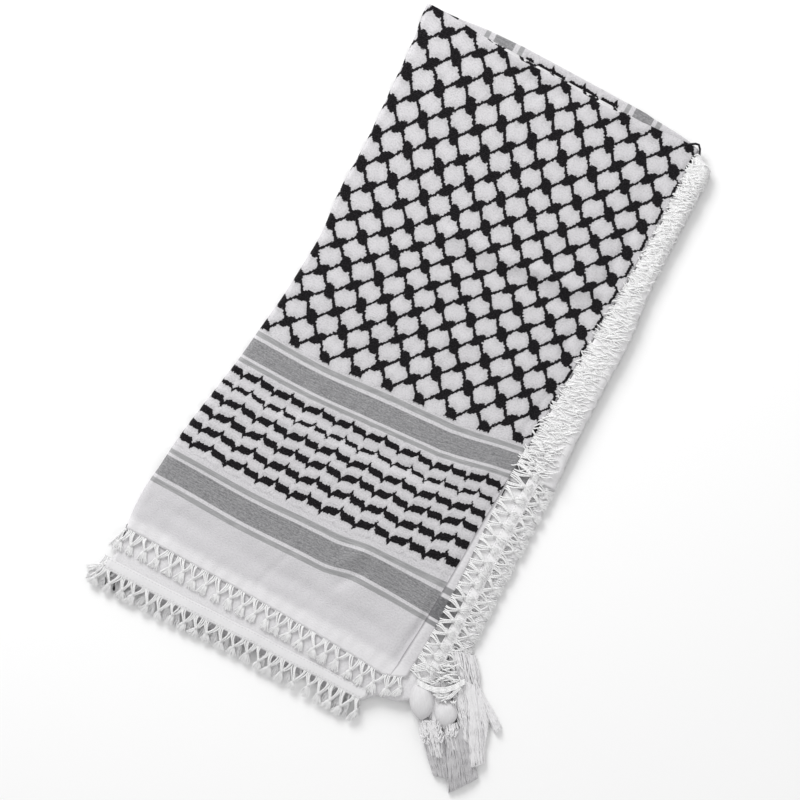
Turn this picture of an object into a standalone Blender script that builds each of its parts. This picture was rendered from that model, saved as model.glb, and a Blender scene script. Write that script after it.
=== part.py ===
# Keffiyeh headscarf, folded in half and then twice across into a flat packet of eight plies.
# +X runs across the packet from the long fold to the hems, +Y up to the top fold, +Z up.
# The origin is under the middle of the whole object, on the surface that it lies on.

import math
from collections import namedtuple

import bmesh
import bpy
from mathutils import Vector

MM = 0.001

# Driving dimensions, in metres
PLY = 1.2 * MM                 # wall of one ply of cloth
TRIM = 0.8 * MM                # wall of a hem tape or a turned hem strip
FRINGE_WALL = 1.4 * MM         # wall of a knotted fringe
LOWER_FRINGE_WALL = 3.4 * MM   # the fringes of the six hidden plies, heaped
CLEAR = 0.4 * MM               # gap between neighbouring pieces
TAPE_WIDTH = 9 * MM            # stitched tape over the second quarter's hems
FRONT_FRINGE_REACH = 25 * MM
INNER_FOLD_PROUD = 7.4 * MM    # the inner pair's fold stands past the top fold
TURN_RADIUS = 5.25 * MM        # the front ply's turn round the long fold
LIP_RADIUS = 0.9 * MM          # the front ply's turn over the top fold
CORNER_START = 255 * MM        # the lower right corners are folded under from here
CORNER_SLOPE = 0.918           # rise of that slanting fold for its length across

# Middle heights of the plies above the surface
UNDER_Z = PLY / 2
SECOND_Z = 9.6 * MM
FRONT_Z = SECOND_Z + PLY + CLEAR
TAPE_LIFT = PLY / 2 + CLEAR + TRIM / 2
FRINGE_LIFT = PLY / 2 + CLEAR + FRINGE_WALL / 2

# The packet's plan in millimetres, a row for each section down from the top fold
Section = namedtuple("Section", "down long_fold front_hem second_hem fringe_reach")
SECTIONS = [
    Section(0, 0.5, 284, 298, 8),
    Section(30, 4.1, 285, 299, 8),
    Section(82, 8.7, 286, 299, 8.5),
    Section(133, 11.0, 285, 300, 9),
    Section(185, 11.5, 283, 301.5, 13),
    Section(236, 15.6, 281, 302, 13),
    Section(288, 12.9, 278.5, 302, 14),
    Section(339, 7.8, 276, 302.5, 17),
    Section(391, 0.9, 277.5, 303, 17.5),
    Section(442, -7.8, 280, 303.5, 17),
    Section(494, -13.3, 281.5, 304, 18),
    Section(520, -15.6, 281.5, 304.5, 18),
    Section(556, -13.5, 280, 304.5, 18),
    Section(594, -11.0, 280, 304.5, 18),
]

# The lower hems in millimetres, a row for each section across
LowerHem = namedtuple("LowerHem", "across front second tips")
LOWER_HEMS = [
    LowerHem(-25, 556.0, 594.0, 618.0),
    LowerHem(40, 556.0, 593.0, 618.0),
    LowerHem(120, 556.5, 590.5, 614.0),
    LowerHem(185, 557.5, 588.5, 614.5),
    LowerHem(255, 559.5, 586.0, 615.0),
    LowerHem(290, 560.0, 585.0, 615.0),
]

# The crease where the front quarter's right hem is turned, from its upper end to the lower hem
Crease = namedtuple("Crease", "down across")
HEM_CREASE = [Crease(357, 273.0), Crease(444, 271.5), Crease(500, 270.0), Crease(545, 266.8)]

# Broad swells of the upper plies: middle, half lengths across and down, and height, in millimetres
Swell = namedtuple("Swell", "across down half_across half_down height")
SWELLS = [
    Swell(60, 60, 60, 80, 0.9),
    Swell(210, 120, 70, 60, 1.0),
    Swell(90, 235, 75, 55, 1.2),
    Swell(225, 330, 55, 80, 1.5),
    Swell(40, 430, 60, 70, 0.8),
    Swell(190, 480, 35, 90, 1.4),
]

# Ply edges of the layered solids: how far each point is set in, and its height, in millimetres
EdgePoint = namedtuple("EdgePoint", "inset height")
CORE_EDGE = [
    EdgePoint(1.0, 5.4), EdgePoint(0.0, 4.8), EdgePoint(1.1, 4.1), EdgePoint(0.3, 3.5),
    EdgePoint(1.2, 2.8), EdgePoint(0.2, 2.2), EdgePoint(1.0, 1.6),
]
INNER_EDGE = [
    EdgePoint(1.0, 8.5), EdgePoint(0.0, 7.8), EdgePoint(1.0, 7.15), EdgePoint(0.0, 6.5), EdgePoint(1.0, 5.8),
]

# Tassels: each route runs from its corner to its tips; across, down, radius and height in millimetres
TasselPoint = namedtuple("TasselPoint", "across down radius height")
TASSELS = {
    "tassel_front": [
        TasselPoint(297.5, 553, 3.0, 9.0), TasselPoint(300, 558, 8.6, 14.0), TasselPoint(304, 565, 10.4, 18.0),
        TasselPoint(308, 573, 9.6, 17.0), TasselPoint(312, 580, 6.6, 13.0), TasselPoint(317, 584, 6.4, 12.0),
        TasselPoint(327, 592, 9.0, 16.0), TasselPoint(338, 605, 8.6, 13.0), TasselPoint(348, 617, 7.6, 10.0),
        TasselPoint(355, 626, 6.0, 7.0),
    ],
    "tassel_second": [
        TasselPoint(320.5, 554, 3.0, 8.0), TasselPoint(323.5, 559, 7.6, 13.0), TasselPoint(328, 567, 9.2, 16.0),
        TasselPoint(332, 574, 8.0, 14.0), TasselPoint(337, 579, 5.8, 11.0), TasselPoint(347, 586, 7.2, 12.0),
        TasselPoint(356, 593, 8.4, 12.0), TasselPoint(366, 606, 8.4, 9.0), TasselPoint(374, 618, 7.6, 7.0),
    ],
    "tassel_third": [
        TasselPoint(325, 534, 2.4, 6.0), TasselPoint(335, 543, 4.0, 8.0), TasselPoint(349, 560, 6.0, 10.0),
        TasselPoint(358, 571, 6.2, 11.0), TasselPoint(368, 582, 6.2, 10.0), TasselPoint(379, 595, 5.6, 7.0),
    ],
    "tassel_fourth": [
        TasselPoint(328, 514, 2.4, 6.0), TasselPoint(337, 522, 5.0, 8.0), TasselPoint(348, 535, 6.0, 9.0),
        TasselPoint(358, 546, 5.6, 8.0), TasselPoint(368, 554, 4.2, 6.0), TasselPoint(384, 561, 2.6, 4.0),
    ],
}
TASSEL_SIDES = 10

# Grid steps
FRONT_COLUMNS = 14
TURN_STEPS = 7
UNDER_COLUMNS = 5
FRONT_ROWS = 22
LIP_STEPS = 3
PLY_COLUMNS = 12
PLY_ROWS = 19

WHITE_COTTON = (0.80, 0.79, 0.80)
HIDDEN_COTTON = (0.74, 0.73, 0.75)
WHITE_YARN = (0.86, 0.86, 0.85)


def clear_scene():
    for existing in list(bpy.data.objects):
        bpy.data.objects.remove(existing, do_unlink=True)


def mix(start, end, share):
    return start + (end - start) * share


def smooth_step(low, high, value):
    share = min(max((value - low) / (high - low), 0.0), 1.0)
    return share * share * (3 - 2 * share)


def read_table(table, key, column, at):
    """Smooth value of one column of a table at a distance given in metres; result in metres."""
    place = at / MM
    keys = [getattr(row, key) for row in table]
    values = [getattr(row, column) for row in table]
    place = min(max(place, keys[0]), keys[-1])
    index = 0
    while index < len(keys) - 2 and place > keys[index + 1]:
        index += 1
    before = values[max(index - 1, 0)]
    start, end = values[index], values[index + 1]
    after = values[min(index + 2, len(values) - 1)]
    share = (place - keys[index]) / (keys[index + 1] - keys[index])
    slope_in = (end - before) / 2
    slope_out = (after - start) / 2
    square, cube = share ** 2, share ** 3
    bend = (2 * cube - 3 * square + 1) * start + (cube - 2 * square + share) * slope_in
    bend += (3 * square - 2 * cube) * end + (cube - square) * slope_out
    return bend * MM


def plan(column, down):
    return read_table(SECTIONS, "down", column, down)


def lower_hem(column, across):
    return read_table(LOWER_HEMS, "across", column, across)


def folded_corner(across, inset=0.0):
    """Lower edge of the second ply, or of one set in from it; its right corner is folded under."""
    corner = lower_hem("second", CORNER_START) - CORNER_SLOPE * (across - CORNER_START)
    return min(lower_hem("second", across), corner) - inset


def swell(across, down):
    lift = 0.0
    for row in SWELLS:
        along = (across / MM - row.across) / row.half_across
        below = (down / MM - row.down) / row.half_down
        lift += row.height * MM * math.exp(-(along ** 2 + below ** 2))
    return lift


def collection_for(name):
    holder = bpy.data.collections.new(name)
    bpy.context.scene.collection.children.link(holder)
    return holder


def material_for(name, colour, roughness=0.9):
    material = bpy.data.materials.new(name + "_material")
    material.use_nodes = True
    shader = material.node_tree.nodes["Principled BSDF"]
    shader.inputs["Base Color"].default_value = (*colour, 1.0)
    shader.inputs["Roughness"].default_value = roughness
    shader.inputs["Metallic"].default_value = 0.0
    return material


def finish_object(mesh_data, name, holder, colour, wall=None):
    """Make an object of a bmesh; a wall turns its open surface into a closed ply."""
    mesh = bpy.data.meshes.new(name)
    mesh_data.to_mesh(mesh)
    mesh_data.free()
    mesh.materials.append(material_for(name, colour))
    mesh.shade_smooth()
    piece = bpy.data.objects.new(name, mesh)
    holder.objects.link(piece)
    if wall:
        solidify = piece.modifiers.new("wall", "SOLIDIFY")
        solidify.thickness = wall
        solidify.offset = 0.0
        solidify.use_even_offset = True
    return piece


def shaped_grid(columns, rows, place):
    """A grid whose points are placed by a function of their shares across and down."""
    sheet = bmesh.new()
    bmesh.ops.create_grid(sheet, x_segments=columns, y_segments=rows, size=1.0)
    for vert in sheet.verts:
        across_share = (vert.co.x + 1) / 2
        down_share = (1 - vert.co.y) / 2
        vert.co = place(across_share, down_share)
    return sheet


def front_quarter(holder):
    """The front ply: over the top fold, round the long fold and back under the whole packet."""
    columns = FRONT_COLUMNS + TURN_STEPS + UNDER_COLUMNS
    rows = FRONT_ROWS + LIP_STEPS

    def place(across_share, down_share):
        row = round(down_share * rows)
        lip_row = LIP_STEPS - row
        depth, setback = 0.0, PLY / 2 + LIP_RADIUS
        if lip_row == 1:
            depth = LIP_RADIUS * (1 - math.sqrt(0.5))
            setback = PLY / 2 + LIP_RADIUS * (1 - math.sqrt(0.5))
        if lip_row == 2:
            depth, setback = LIP_RADIUS, PLY / 2
        if lip_row == 3:
            depth, setback = 2 * LIP_RADIUS, PLY / 2
        step = round((1 - across_share) * columns)
        top_share = min(step / FRONT_COLUMNS, 1.0)
        guess = mix(280 * MM, -13 * MM, top_share)
        row_share = max(row - LIP_STEPS, 0) / FRONT_ROWS
        down = mix(setback, lower_hem("front", guess), row_share)
        fold, hem = plan("long_fold", down), plan("front_hem", down)
        centre = fold + TURN_RADIUS + PLY / 2
        across = mix(hem, centre, top_share)
        top = FRONT_Z + swell(across, down)
        if step <= FRONT_COLUMNS:
            return Vector((across, -down, top - depth))
        if step <= FRONT_COLUMNS + TURN_STEPS:
            angle = math.pi * (step - FRONT_COLUMNS) / TURN_STEPS
            middle, half_height = (top + UNDER_Z) / 2, (top - UNDER_Z) / 2
            shrink = 1 - depth / TURN_RADIUS
            turned = centre - TURN_RADIUS * math.sin(angle) * shrink
            return Vector((turned, -down, middle + half_height * math.cos(angle) * shrink))
        under_share = (step - FRONT_COLUMNS - TURN_STEPS) / UNDER_COLUMNS
        return Vector((mix(centre, hem - 4 * MM, under_share), -down, UNDER_Z + depth))

    sheet = shaped_grid(columns, rows, place)
    return finish_object(sheet, "front_quarter", holder, WHITE_COTTON, PLY)


def second_place(across_share, down_share, lift=0.0):
    """A point on the second ply, which lies under the front one and shows past its hems."""
    guess = mix(-5 * MM, 304 * MM, across_share)
    start = PLY + CLEAR
    down = mix(start, folded_corner(guess), down_share)
    left = plan("long_fold", down) + TURN_RADIUS + PLY / 2
    across = mix(left, plan("second_hem", down), across_share)
    return Vector((across, -down, SECOND_Z + swell(across, down) + lift))


def second_quarter(holder):
    sheet = shaped_grid(PLY_COLUMNS, PLY_ROWS, second_place)
    return finish_object(sheet, "second_quarter", holder, WHITE_COTTON, PLY)


def layered_solid(holder, name, edge, colour, outline):
    """One closed solid of several hidden plies, with their edges in relief all round."""

    def rim(vert_share, point):
        across_share, down_share = vert_share
        place = outline(across_share, down_share)
        if across_share < 0.001:
            place.x += point.inset * MM
        if across_share > 0.999:
            place.x -= point.inset * MM
        if down_share < 0.001:
            place.y -= point.inset * MM
        if down_share > 0.999:
            place.y += point.inset * MM
        place.z = point.height * MM
        return place

    solid = bmesh.new()
    across_layer = solid.verts.layers.float.new("across")
    down_layer = solid.verts.layers.float.new("down")
    for point in (edge[0], edge[-1]):
        made = bmesh.ops.create_grid(solid, x_segments=PLY_COLUMNS, y_segments=PLY_ROWS, size=1.0)
        for vert in made["verts"]:
            shares = ((vert.co.x + 1) / 2, (1 - vert.co.y) / 2)
            vert[across_layer], vert[down_layer] = shares
            vert.co = rim(shares, point)
        if point is edge[0]:
            loop = [item for item in solid.edges if item.is_boundary]
    for point in edge[1:]:
        made = bmesh.ops.extrude_edge_only(solid, edges=loop)["geom"]
        loop = [item for item in made if isinstance(item, bmesh.types.BMEdge) and item.is_boundary]
        for vert in {vert for item in loop for vert in item.verts}:
            vert.co = rim((vert[across_layer], vert[down_layer]), point)
    bmesh.ops.remove_doubles(solid, verts=solid.verts, dist=0.00002)
    bmesh.ops.recalc_face_normals(solid, faces=solid.faces)
    return finish_object(solid, name, holder, colour)


def inner_fold(holder):
    """The pair of plies under the second one; its fold shows as a strip past the top fold."""

    def outline(across_share, down_share):
        guess = mix(5 * MM, 290 * MM, across_share)
        proud = INNER_FOLD_PROUD * math.sin(math.pi * across_share) ** 0.35
        top = 3.0 * MM - (3.0 * MM + proud) * smooth_step(0.0, 0.12, across_share * (1 - across_share) * 4)
        down = mix(top, folded_corner(guess, 11 * MM), down_share)
        left = plan("long_fold", down) + 7.6 * MM
        return Vector((mix(left, plan("front_hem", down) + 8 * MM, across_share), -down, 0.0))

    return layered_solid(holder, "inner_fold", INNER_EDGE, HIDDEN_COTTON, outline)


def folded_core(holder):
    """The three hidden plies between the inner fold and the underside."""

    def outline(across_share, down_share):
        guess = mix(5 * MM, 286 * MM, across_share)
        down = mix(3.2 * MM, folded_corner(guess, 15 * MM), down_share)
        left = plan("long_fold", down) + 7.2 * MM
        return Vector((mix(left, plan("front_hem", down) + 4 * MM, across_share), -down, 0.0))

    return layered_solid(holder, "folded_core", CORE_EDGE, HIDDEN_COTTON, outline)


def side_strip(holder, name, rows, top, bottom, inner, outer, heights, wall, colour):
    """A strip down the right side, between two edges that follow the packet's plan."""

    def place(across_share, down_share):
        down = mix(top, bottom, down_share)
        across = mix(inner(down), outer(down), across_share)
        height = mix(heights[0], heights[1], across_share)
        return Vector((across, -down, height + swell(min(across, 300 * MM), down)))

    sheet = shaped_grid(2, rows, place)
    return finish_object(sheet, name, holder, colour, wall)


def lower_strip(holder, name, columns, left, right, upper, lower, heights, wall, colour):
    """A strip along the lower edge, between two edges that follow the hems."""

    def place(across_share, down_share):
        across = mix(left, right, across_share)
        down = mix(upper(across), lower(across), down_share)
        height = mix(heights[0], heights[1], down_share)
        return Vector((across, -down, height + swell(across, down)))

    sheet = shaped_grid(columns, 2, place)
    return finish_object(sheet, name, holder, colour, wall)


def hems(holder):
    tape_z = SECOND_Z + TAPE_LIFT
    side_strip(
        holder, "second_hem_right", 20, 6 * MM, 528 * MM,
        lambda down: plan("second_hem", down) - TAPE_WIDTH,
        lambda down: plan("second_hem", down) - CLEAR,
        (tape_z, tape_z), TRIM, WHITE_YARN)
    lower_strip(
        holder, "second_hem_lower", 18, -4 * MM, CORNER_START - 3 * MM,
        lambda across: lower_hem("second", across) - TAPE_WIDTH,
        lambda across: lower_hem("second", across) - CLEAR,
        (tape_z, tape_z), TRIM, WHITE_YARN)
    strip_z = FRONT_Z + TAPE_LIFT
    side_strip(
        holder, "front_hem_right", 10, HEM_CREASE[0].down * MM, HEM_CREASE[-1].down * MM,
        lambda down: read_table(HEM_CREASE, "down", "across", down),
        lambda down: plan("front_hem", down) - CLEAR,
        (strip_z, strip_z), TRIM, WHITE_COTTON)


def fringes(holder):
    on_second = SECOND_Z + FRINGE_LIFT
    side_strip(
        holder, "front_fringe_right", 20, 6 * MM, 546 * MM,
        lambda down: plan("front_hem", down) + CLEAR,
        lambda down: plan("second_hem", down) - TAPE_WIDTH - CLEAR,
        (on_second, on_second), FRINGE_WALL, WHITE_YARN)
    lower_strip(
        holder, "front_fringe_lower", 18, -9 * MM, 279 * MM,
        lambda across: lower_hem("front", across) + CLEAR,
        lambda across: min(lower_hem("front", across) + FRONT_FRINGE_REACH,
                           lower_hem("second", across) - TAPE_WIDTH - CLEAR),
        (on_second, on_second), FRINGE_WALL, WHITE_YARN)
    side_strip(
        holder, "second_fringe_right", 20, 6 * MM, 504 * MM,
        lambda down: plan("second_hem", down) + CLEAR,
        lambda down: plan("second_hem", down) + plan("fringe_reach", down),
        (SECOND_Z, 7.4 * MM), FRINGE_WALL, WHITE_YARN)
    lower_strip(
        holder, "second_fringe_lower", 18, -9 * MM, CORNER_START - 3 * MM,
        lambda across: lower_hem("second", across) + CLEAR,
        lambda across: lower_hem("tips", across),
        (SECOND_Z, 6.2 * MM), FRINGE_WALL, WHITE_YARN)
    side_strip(
        holder, "lower_fringe_right", 18, 12 * MM, 500 * MM,
        lambda down: plan("front_hem", down) + 8 * MM + CLEAR,
        lambda down: plan("second_hem", down) + plan("fringe_reach", down) - 2 * MM,
        (4.6 * MM, 2.0 * MM), LOWER_FRINGE_WALL, HIDDEN_COTTON)
    lower_strip(
        holder, "lower_fringe_lower", 16, -25 * MM, CORNER_START - 10 * MM,
        lambda across: lower_hem("second", across) - 11 * MM + CLEAR,
        lambda across: lower_hem("tips", across) - 7 * MM,
        (4.6 * MM, 2.0 * MM), LOWER_FRINGE_WALL, HIDDEN_COTTON)


def tassel(holder, name, route):
    """A round-headed tassel lying on the surface: rings along its route, bridged and capped."""
    solid = bmesh.new()
    rings = []
    for index, point in enumerate(route):
        ahead, behind = route[min(index + 1, len(route) - 1)], route[max(index - 1, 0)]
        heading = Vector((ahead.across - behind.across, behind.down - ahead.down, 0.0)).normalized()
        side = Vector((-heading.y, heading.x, 0.0))
        made = bmesh.ops.create_circle(solid, cap_ends=False, radius=1.0, segments=TASSEL_SIDES)
        middle = Vector((point.across, -point.down, point.height / 2)) * MM
        for vert in made["verts"]:
            offset = side * vert.co.x * point.radius * MM
            vert.co = middle + offset + Vector((0.0, 0.0, vert.co.y * point.height / 2 * MM))
        rings.append(made["verts"])
    for near, far in zip(rings, rings[1:]):
        loops = {edge for vert in near + far for edge in vert.link_edges}
        loops = [edge for edge in loops if set(edge.verts) <= set(near) or set(edge.verts) <= set(far)]
        bmesh.ops.bridge_loops(solid, edges=loops)
    ends = [edge for edge in solid.edges if edge.is_boundary]
    bmesh.ops.holes_fill(solid, edges=ends, sides=TASSEL_SIDES)
    bmesh.ops.recalc_face_normals(solid, faces=solid.faces)
    return finish_object(solid, name, holder, WHITE_YARN)


def centre_on_origin(holder):
    """Put the origin under the middle of the box round every piece."""
    bpy.context.view_layer.update()
    graph = bpy.context.evaluated_depsgraph_get()
    corners = [Vector(corner) for piece in holder.objects for corner in piece.evaluated_get(graph).bound_box]
    low = Vector([min(corner[axis] for corner in corners) for axis in range(3)])
    high = Vector([max(corner[axis] for corner in corners) for axis in range(3)])
    shift = Vector(((low.x + high.x) / 2, (low.y + high.y) / 2, low.z))
    for piece in holder.objects:
        piece.location -= shift


def main():
    clear_scene()
    holder = collection_for("keffiyeh_headscarf")
    front_quarter(holder)
    second_quarter(holder)
    inner_fold(holder)
    folded_core(holder)
    hems(holder)
    fringes(holder)
    for name, route in TASSELS.items():
        tassel(holder, name, route)
    centre_on_origin(holder)


main()
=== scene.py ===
import functools
import math
import random

import bmesh
import bpy
import numpy as np
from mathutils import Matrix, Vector


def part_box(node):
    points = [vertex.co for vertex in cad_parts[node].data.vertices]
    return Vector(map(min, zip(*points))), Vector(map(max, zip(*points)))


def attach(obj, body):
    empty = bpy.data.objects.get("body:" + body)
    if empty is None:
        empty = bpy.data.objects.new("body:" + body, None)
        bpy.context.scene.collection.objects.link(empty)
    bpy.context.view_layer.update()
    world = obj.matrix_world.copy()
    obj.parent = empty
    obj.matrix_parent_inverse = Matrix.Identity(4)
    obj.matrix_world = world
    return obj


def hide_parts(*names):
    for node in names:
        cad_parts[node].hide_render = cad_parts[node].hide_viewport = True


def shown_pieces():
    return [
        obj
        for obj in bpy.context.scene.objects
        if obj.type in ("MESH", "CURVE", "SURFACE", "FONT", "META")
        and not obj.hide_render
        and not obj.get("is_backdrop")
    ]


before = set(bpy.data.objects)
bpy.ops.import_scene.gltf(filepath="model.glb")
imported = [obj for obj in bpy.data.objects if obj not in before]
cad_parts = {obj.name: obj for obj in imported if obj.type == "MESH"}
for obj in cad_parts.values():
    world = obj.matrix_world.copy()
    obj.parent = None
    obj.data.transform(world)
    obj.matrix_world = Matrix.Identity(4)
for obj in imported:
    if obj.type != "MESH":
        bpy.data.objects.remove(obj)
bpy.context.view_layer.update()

# Lengths below are millimetres of cloth: across runs right from the long fold, down runs from the
# top fold to the hems, and height is above the surface that the packet lies on.
hemCorner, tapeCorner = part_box("second_hem_lower")[0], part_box("second_hem_right")[1]
packetZero = (hemCorner.x + 0.004, tapeCorner.y + 0.006)

packet = {
    "down": [0, 30, 82, 133, 185, 236, 288, 339, 391, 442, 494, 520, 556, 594],
    "longFold": [0.5, 4.1, 8.7, 11, 11.5, 15.6, 12.9, 7.8, 0.9, -7.8, -13.3, -15.6, -13.5, -11],
    "frontHem": [284, 285, 286, 285, 283, 281, 278.5, 276, 277.5, 280, 281.5, 281.5, 280, 280],
    "secondHem": [298, 299, 299, 300, 301.5, 302, 302, 302.5, 303, 303.5, 304, 304.5, 304.5,
                  304.5],
    "fringeReach": [8, 8, 8.5, 9, 13, 13, 14, 17, 17.5, 17, 18, 18, 18, 18],
    "across": [-25, 40, 120, 185, 235, 255, 263, 285, 306],
    "frontLower": [557, 557, 557.5, 559, 561, 562.4, 561.5, 551.5, 546],
    "secondLower": [599, 598.3, 596, 594.5, 593.4, 592.5, 583, 577.5, 561],
    "lowerTips": [618, 618, 614.5, 615.5, 616, 615, 605, 600, 590],
    "stripAcross": [9, 28, 46, 74, 92, 221, 232, 248, 267, 280, 292],
    "stripTop": [-1.2, -2.7, -5, -6.4, -7.3, -7.3, -6.2, -5.5, -4.1, -1.5, 2.5],
    "dipAcross": [8, 40, 54, 78, 101, 132, 143, 160, 186, 203, 215, 235, 246, 268, 282],
    "topDip": [-0.8, 0.4, 2, 3.8, 4.8, 3.3, 2.9, 4, 5.1, 3.8, 2.8, 1.1, 0.4, -1.4, -1.2],
    "creaseDown": [357, 398, 444, 500, 546, 556],
    "crease": [275.1, 273.2, 271.9, 270, 266.8, 264.5],
    "frontHeight": 11.2,
    "secondHeight": 9.6,
    "innerHeight": 7.6,
    "coreHeight": 4.6,
    "underSecondHeight": 2.2,
    "wall": 0.6,
}

# How far the weft hangs below its woven line, and how far the warp leans right of its own
weftSag = {
    "across": [11, 77, 143, 166, 190, 215, 267, 290],
    "down": [0, 20, 36, 80, 170, 245, 334, 356, 412, 443, 490, 512, 556],
    "amount": [
        [-6.5, -1.2, -0.8, 0.5, 1.3, -0.7, -5.6, -7],
        [-5.6, -2.2, -1.7, 0, 0.2, -0.6, -5.6, -6.5],
        [-4.1, -3.4, -1.5, -0.5, -0.2, -1, -6.6, -7.5],
        [0.6, 0.3, 1.2, 1.2, 1.0, 0.2, -7.6, -9],
        [4, 4, 0.9, -0.7, -2.3, -4.2, -12.5, -15],
        [3.7, 0, -5.5, -7.1, -8.7, -10.7, -17.5, -20],
        [-1.4, -1.4, -7.4, -9, -10.6, -12.7, -21.2, -24],
        [0, 0, -4.6, -6.5, -8.4, -11.2, -22.1, -25],
        [-2.2, -3, -8, -9.9, -11.8, -14, -23, -25],
        [-1, -2, -7, -9.2, -11.2, -13, -21.5, -23],
        [-1.4, 0, -2.3, -3, -8.3, -9.2, -7.8, -7.8],
        [-1, 0, -2, -3, -7.5, -8.2, -7.4, -7],
        [0, 0, 0, 0.2, 0.6, 1, 4, 4.6],
    ],
}
warpLean = {
    "across": [0, 71, 143, 213, 284],
    "down": [0, 60, 90, 180, 250, 330, 380, 456, 553],
    "amount": [
        [-1.5, 4.5, 6, 2, 1.2],
        [1.5, 3.5, 3.6, 1.2, -0.3],
        [3.7, 2.8, 2.8, 0.9, -0.9],
        [5.5, 6.4, 3.7, 0.9, -2.8],
        [4.6, 4.6, 0, -2.8, -4.6],
        [-0.9, -2.8, -6.4, -7.4, -8.3],
        [-1.8, -2.8, -7.4, -7.4, -8.3],
        [-12.9, -10.1, -12, -10.1, -5.5],
        [-14.7, -11, -11, -7.4, -3.7],
    ],
}
clothWidth = 284.3

# Each crease or ripple: from, to, half width and height
creases = [
    ((138, 4), (134, 330), 2.2, 0.45),
    ((134, 330), (131, 498), 1.9, 0.6),
    ((131, 498), (118, 552), 1.8, -1.2),
    ((112, 176), (196, 171), 8.0, 2.4),
    ((196, 171), (281, 157), 7.5, 2.8),
    ((120, 192), (268, 178), 7.5, -1.6),
    ((62, 18), (172, 17), 7.0, -2.4),
    ((190, 16), (262, 17), 6.0, -1.6),
    ((262, 30), (265, 205), 9.0, -1.4),
    ((5, 389), (215, 383), 5.5, -1.7),
    ((15, 402), (250, 394), 6.0, 1.1),
    ((0, 524), (255, 528), 7.0, -1.4),
    ((20, 505), (150, 508), 6.0, 0.8),
    ((267, 88), (268, 152), 3.4, -2.2),
    ((262, 198), (266, 228), 3.2, -1.9),
    ((270, 262), (268, 318), 3.8, -1.3),
    ((275, 362), (271, 445), 3.2, -1.5),
    ((271, 440), (264, 556), 3.4, -2.0),
    ((166, 502), (194, 468), 6.0, 1.7),
    ((182, 512), (206, 482), 5.0, -1.2),
    ((220, 375), (264, 344), 8.0, 1.5),
    ((-12, 528), (28, 545), 8.0, -1.5),
    ((-10, 470), (40, 466), 9.0, 1.0),
    ((10, 62), (60, 78), 9.0, 0.8),
    ((30, 238), (92, 232), 10.0, 0.9),
    ((60, 300), (120, 322), 9.0, -0.7),
    ((150, 262), (214, 250), 8.0, 0.8),
]
# Each broad swell: its middle across and down, half sizes, and height
swells = [
    (60, 60, 60, 80, 0.9), (210, 120, 70, 60, 1.0), (90, 235, 75, 55, 1.2),
    (225, 330, 55, 80, 1.5), (40, 430, 60, 70, 0.8), (190, 480, 35, 90, 1.4),
]

fringe = {
    "spacing": 12.5,         # from one bundle to the next along the hem
    "cords": 3,              # from each bundle to the knots at its sides
    "cordRadius": 0.62,
    "cordSpread": 1.55,
    "cordBow": 0.9,
    "knotRadius": 1.4,
    "strands": 15,
    "strandRadius": 0.5,
    "tuftWidth": (3.2, 5.4),
}


def throughPoints(places, values, at):
    # A smooth line through a table's points, read at many places
    places, values = np.array(places, float), np.array(values, float)
    at = np.clip(at, places[0], places[-1])
    low = np.clip(np.searchsorted(places, at) - 1, 0, len(places) - 2)
    share = (at - places[low]) / (places[low + 1] - places[low])
    if values.ndim == 1:
        values = values[:, None] + np.zeros(len(at))
    reach = np.arange(len(at))
    start, end = values[low, reach], values[low + 1, reach]
    slopeIn = (end - values[np.maximum(low - 1, 0), reach]) / 2
    slopeOut = (values[np.minimum(low + 2, len(places) - 1), reach] - start) / 2
    square, cube = share ** 2, share ** 3
    bend = (2 * cube - 3 * square + 1) * start + (cube - 2 * square + share) * slopeIn
    return bend + (3 * square - 2 * cube) * end + (cube - square) * slopeOut


def plan(column, at, key="down"):
    return throughPoints(packet[key], packet[column], np.atleast_1d(np.asarray(at, float)))


def planAt(column, at, key="down"):
    return float(plan(column, at, key)[0])


def ramp(value, start, width):
    # Goes from 0 to 1 over a width, which is negative for one that falls
    return np.clip((value - start) / width, 0, 1)


def strain(table, across, down):
    columns = [throughPoints(table["down"], [row[index] for row in table["amount"]], down)
               for index in range(len(table["across"]))]
    return throughPoints(table["across"], np.stack(columns), across)


def ripple(across, down, size, seed):
    # Gentle unevenness, the same each time
    chance = random.Random(seed)
    total = np.zeros(len(across))
    for _ in range(7):
        angle, phase = chance.uniform(0, math.pi), chance.uniform(0, 6.28)
        pitch = 6.28 / (size * chance.uniform(0.7, 1.5))
        total += np.sin((across * math.cos(angle) + down * math.sin(angle)) * pitch + phase)
    return total / 3.5


def relief(across, down):
    across, down = np.asarray(across, float), np.asarray(down, float)
    lift = np.zeros(len(across))
    for middle, below, halfAcross, halfDown, height in swells:
        spread = ((across - middle) / halfAcross) ** 2 + ((down - below) / halfDown) ** 2
        lift += height * np.exp(-spread)
    sway = ripple(across, down, 55, 4) * 1.6
    for number, (start, end, width, height) in enumerate(creases):
        runX, runY = end[0] - start[0], end[1] - start[1]
        length = math.hypot(runX, runY)
        along = ((across - start[0]) * runX + (down - start[1]) * runY) / length
        side = ((across - start[0]) * runY - (down - start[1]) * runX) / length + sway
        fade = np.clip(np.minimum(along, length - along) / (0.22 * length) + 0.35, 0, 1)
        fade = fade * fade * (3 - 2 * fade)
        uneven = 1 + 0.35 * np.sin(along / 17.0 + number * 1.7)
        lift += height * uneven * fade * np.exp(-(side / width) ** 2)
    return lift


def ruffle(across, down):
    fine = 0.42 * ripple(across, down, 42, 11) + 0.16 * ripple(across, down, 15, 12)
    pitch = 2 * math.pi / fringe["spacing"]
    hem = ramp(down, 538, 12) * np.sin(across * pitch + 2 * np.sin(across / 40))
    return fine + 0.28 * hem * ramp(down, 562, -6)


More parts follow.
